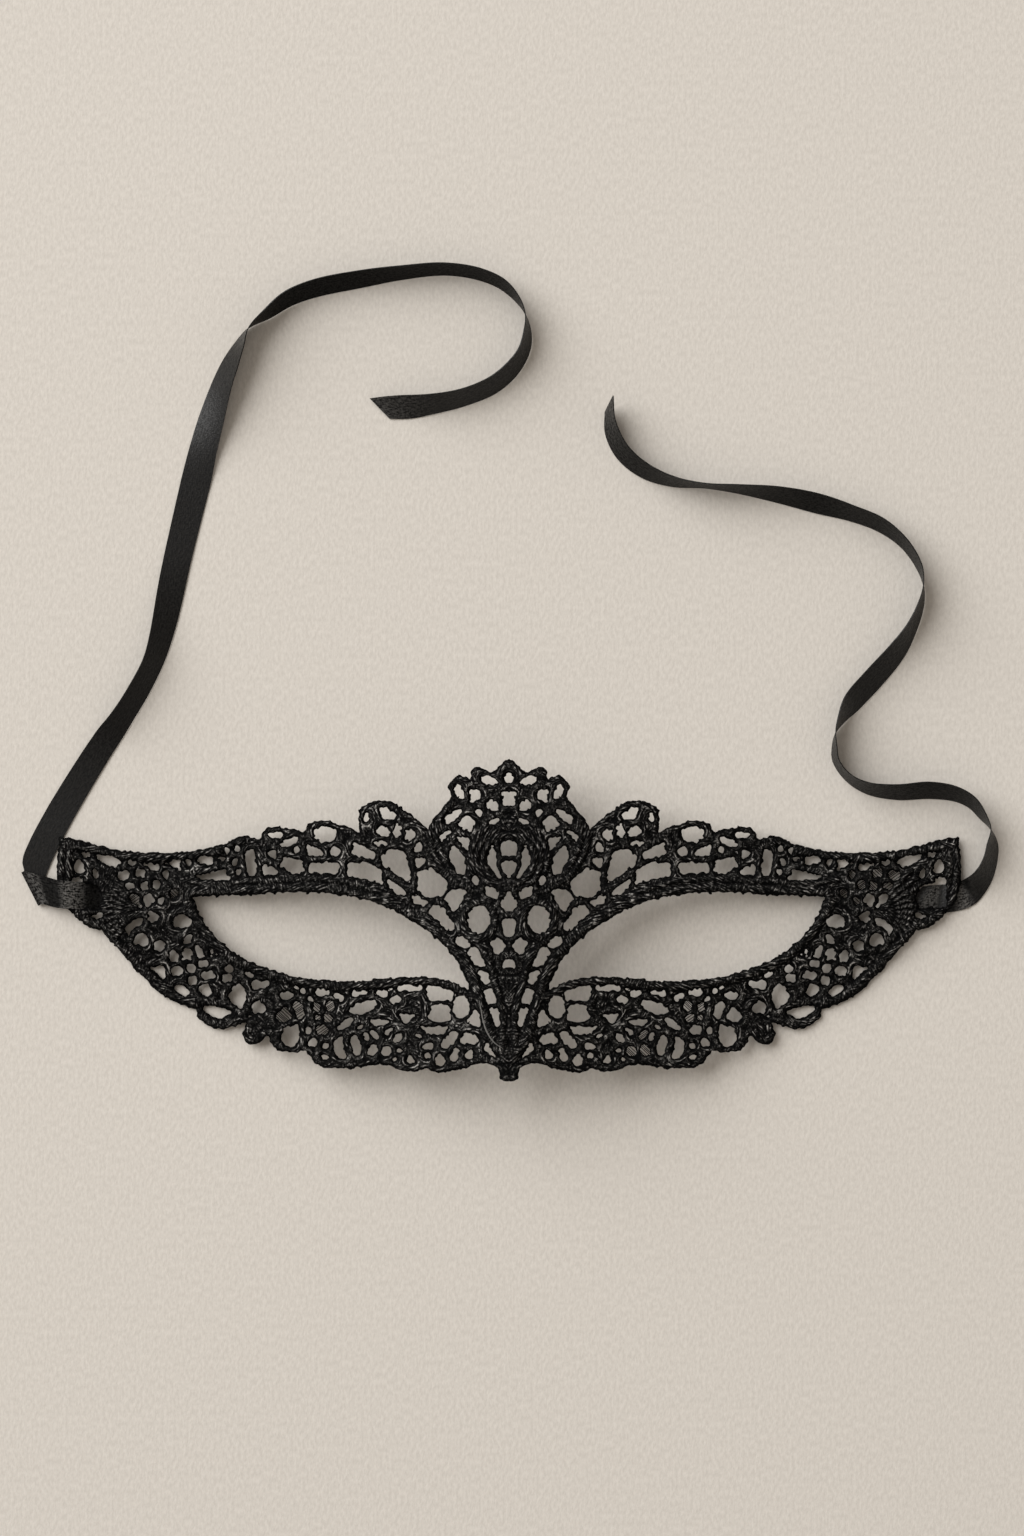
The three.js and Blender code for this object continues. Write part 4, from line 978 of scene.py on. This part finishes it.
def lace_material():
    n = Nodes("black_corded_lace")
    threads = n.add("Attribute", attribute_name="stitch").outputs["Vector"]
    crown = n.add("SeparateXYZ", {"Vector": threads}).outputs["Z"]
    spot = n.add("TexCoord").outputs["Object"]
    slant = {"Vector": threads, "Angle": 0.35}
    slanted = n.add("VectorRotate", slant, rotation_type="Z_AXIS").outputs[0]
    lengthwise = n.noise(n.scaled(slanted, (0.5, 2.5, 0)), 1.0, 1.0, 0.5)
    crosswise = n.noise(n.scaled(slanted, (2.5, 0.7, 0)), 1.0, 2.0, 0.6)
    patch = n.ramp(n.noise(spot, 160.0, 1.0), 0.38, 0.54)
    elsewhere = n.math("SUBTRACT", 1.0, patch)
    thread = n.math("ADD", n.times(lengthwise, patch), n.times(crosswise, elsewhere))
    grain = n.noise(spot, 1600.0, 1.0)
    speck = n.math("ADD", n.times(thread, 0.75), n.times(grain, 0.25))
    # painted sheen and shade: the pale specks are painted highlights of the threads, shown only toward cord
    # crowns, so grooves, bar sides and the lace's edges stay dark as painted shade
    light = n.math("POWER", n.ramp(speck, 0.35, 0.67), 5.5)
    light = n.times(light, n.ramp(crown, 0.5, 1.0, 0.05, 1.0))
    return n.surface({"Base Color": n.mix(light, THREAD_DARK, THREAD_PAINTED_SHEEN), "Roughness": 0.75,
                      "Specular IOR Level": 0.04, "Normal": n.bump(speck, 0.0005)})


def thread_material():
    # painted glint: the base colour is lightened so the black thread reads as lit along its length, beside
    # its real specular reflection
    return Nodes("shiny_thread_painted_glint").surface({"Base Color": SHINY_THREAD_PAINTED_GLINT, "Roughness": 0.4})


def ribbon_material(name, level, puckers, tip):
    n = Nodes(name)
    weave = n.add("Attribute", attribute_name="weave").outputs["Vector"]
    parts = n.add("SeparateXYZ", {"Vector": weave})
    along, to_tip = parts.outputs["X"], parts.outputs["Z"]
    warp = n.noise(n.scaled(weave, (0.9, 2.6, 0)), 1.0, 2.0)
    weft = n.noise(n.scaled(weave, (2.6, 1.6, 0)), 1.0, 1.0)
    grain = n.math("ADD", n.times(warp, 0.6), n.times(weft, 0.4))
    colour = n.mix(n.ramp(grain, 0.4, 0.6), SATIN_DARK, SATIN_LIGHT)
    n.surface({"Roughness": n.ramp(grain, 0.4, 0.6, 0.52, 0.33), "Specular IOR Level": level})
    # where the ribbon is sewn it ripples, and pale specks on the ripples and at the cut tip are painted
    # sheen
    start, end, brightest, spacing, slope = puckers
    turns = 2 * math.pi / spacing
    turn = n.times(n.math("SUBTRACT", along, brightest), turns)
    fade = n.times(n.ramp(along, start, start + PUCKER_FADE),
                   n.ramp(along, end - PUCKER_FADE, end, 1.0, 0.0))
    pucker = n.times(n.times(n.math("SINE", turn), fade), slope / turns)
    wide_turn = n.math("MAXIMUM", turn, n.times(turn, 0.5))
    painted_sheen_mask = n.times(n.ramp(n.math("COSINE", wide_turn), -0.3, 1.0), fade)
    painted_sheen_mask = n.math("MAXIMUM", painted_sheen_mask, n.ramp(to_tip, 0.0, TIP_FADE, tip, 0.0))
    painted_sheen_specks = n.times(painted_sheen_mask, n.ramp(grain, 0.42, 0.6))
    n.surface({"Base Color": n.mix(painted_sheen_specks, colour, SATIN_PAINTED_SHEEN)})
    height = n.math("ADD", pucker, n.times(grain, 0.1))
    return n.surface({"Normal": n.bump(height, 0.001)})


def paper_material():
    n = Nodes("warm_pale_paper")
    spot = n.add("TexCoord").outputs["Object"]
    fine = n.noise(n.scaled(spot, (1300.0, 650.0, 0)), 1.0, 3.0, 0.6)
    colour = n.mix(n.ramp(fine, 0.35, 0.65), PAPER_DARK, PAPER_LIGHT)
    return n.surface({"Base Color": colour, "Roughness": 0.9, "Specular IOR Level": 0.2,
                      "Normal": n.bump(fine, 0.00012, 0.6)})


# The camera looks straight down from the height that the flat tables were read from
SENSOR = 36.0
FRAME_HEIGHT = 0.384
CAMERA_PLACE = (0.00075, 0.03736, 0.9)
# One large soft light and an even, warmer room
WINDOW_PLACE = (-2.9, 2.25, 2.5)
WINDOW_AIM = (0, 0.04, 0)
WINDOW_SIZE = 4.8
WINDOW_POWER = 278.0
WINDOW_COLOUR = (1.0, 0.996, 0.99)
ROOM_COLOUR = (1.0, 0.91, 0.815, 1)
ROOM_STRENGTH = 0.36
TABLE_HALF = 1.2


def make_camera():
    data = bpy.data.cameras.new("view_from_above")
    data.sensor_fit = "VERTICAL"
    data.sensor_height = SENSOR
    data.lens = SENSOR * CAMERA_PLACE[2] / FRAME_HEIGHT
    camera = bpy.data.objects.new("view_from_above", data)
    camera.location = CAMERA_PLACE
    scene.collection.objects.link(camera)
    scene.camera = camera


def make_light():
    data = bpy.data.lights.new("window_side", "AREA")
    data.shape = "DISK"
    data.size = WINDOW_SIZE
    data.energy = WINDOW_POWER
    data.color = WINDOW_COLOUR
    light = bpy.data.objects.new("window_side", data)
    light.location = WINDOW_PLACE
    aim = Vector(WINDOW_AIM) - Vector(WINDOW_PLACE)
    light.rotation_euler = aim.to_track_quat("-Z", "Y").to_euler()
    scene.collection.objects.link(light)
    world = bpy.data.worlds.new("soft_room")
    scene.world = world
    world.use_nodes = True
    background = world.node_tree.nodes["Background"]
    background.inputs["Color"].default_value = ROOM_COLOUR
    background.inputs["Strength"].default_value = ROOM_STRENGTH
    scene.view_settings.view_transform = "Standard"


def make_table(material):
    a = TABLE_HALF
    corners = [(-a, -a, 0), (a, -a, 0), (a, a, 0), (-a, a, 0)]
    new_object("table", corners, [(0, 1, 2, 3)], material, False)


make_camera()

for node, lines in RIBBONS.items():
    satin = SATIN[node]
    looks = [ribbon_material(f"black_satin_{node}_{side}", level, satin["puckers"], satin["tip"])
             for side, level in zip(("face", "back"), satin["levels"])]
    piece, route, length = make_ribbon("satin_" + node, lines, satin["face"], looks)
    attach(piece, "root")
    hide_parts(node)

lace = make_lace([lace_material(), thread_material()], np.random.default_rng(7))
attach(lace, "root")
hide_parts("lace_mask")

make_table(paper_material())
make_light()
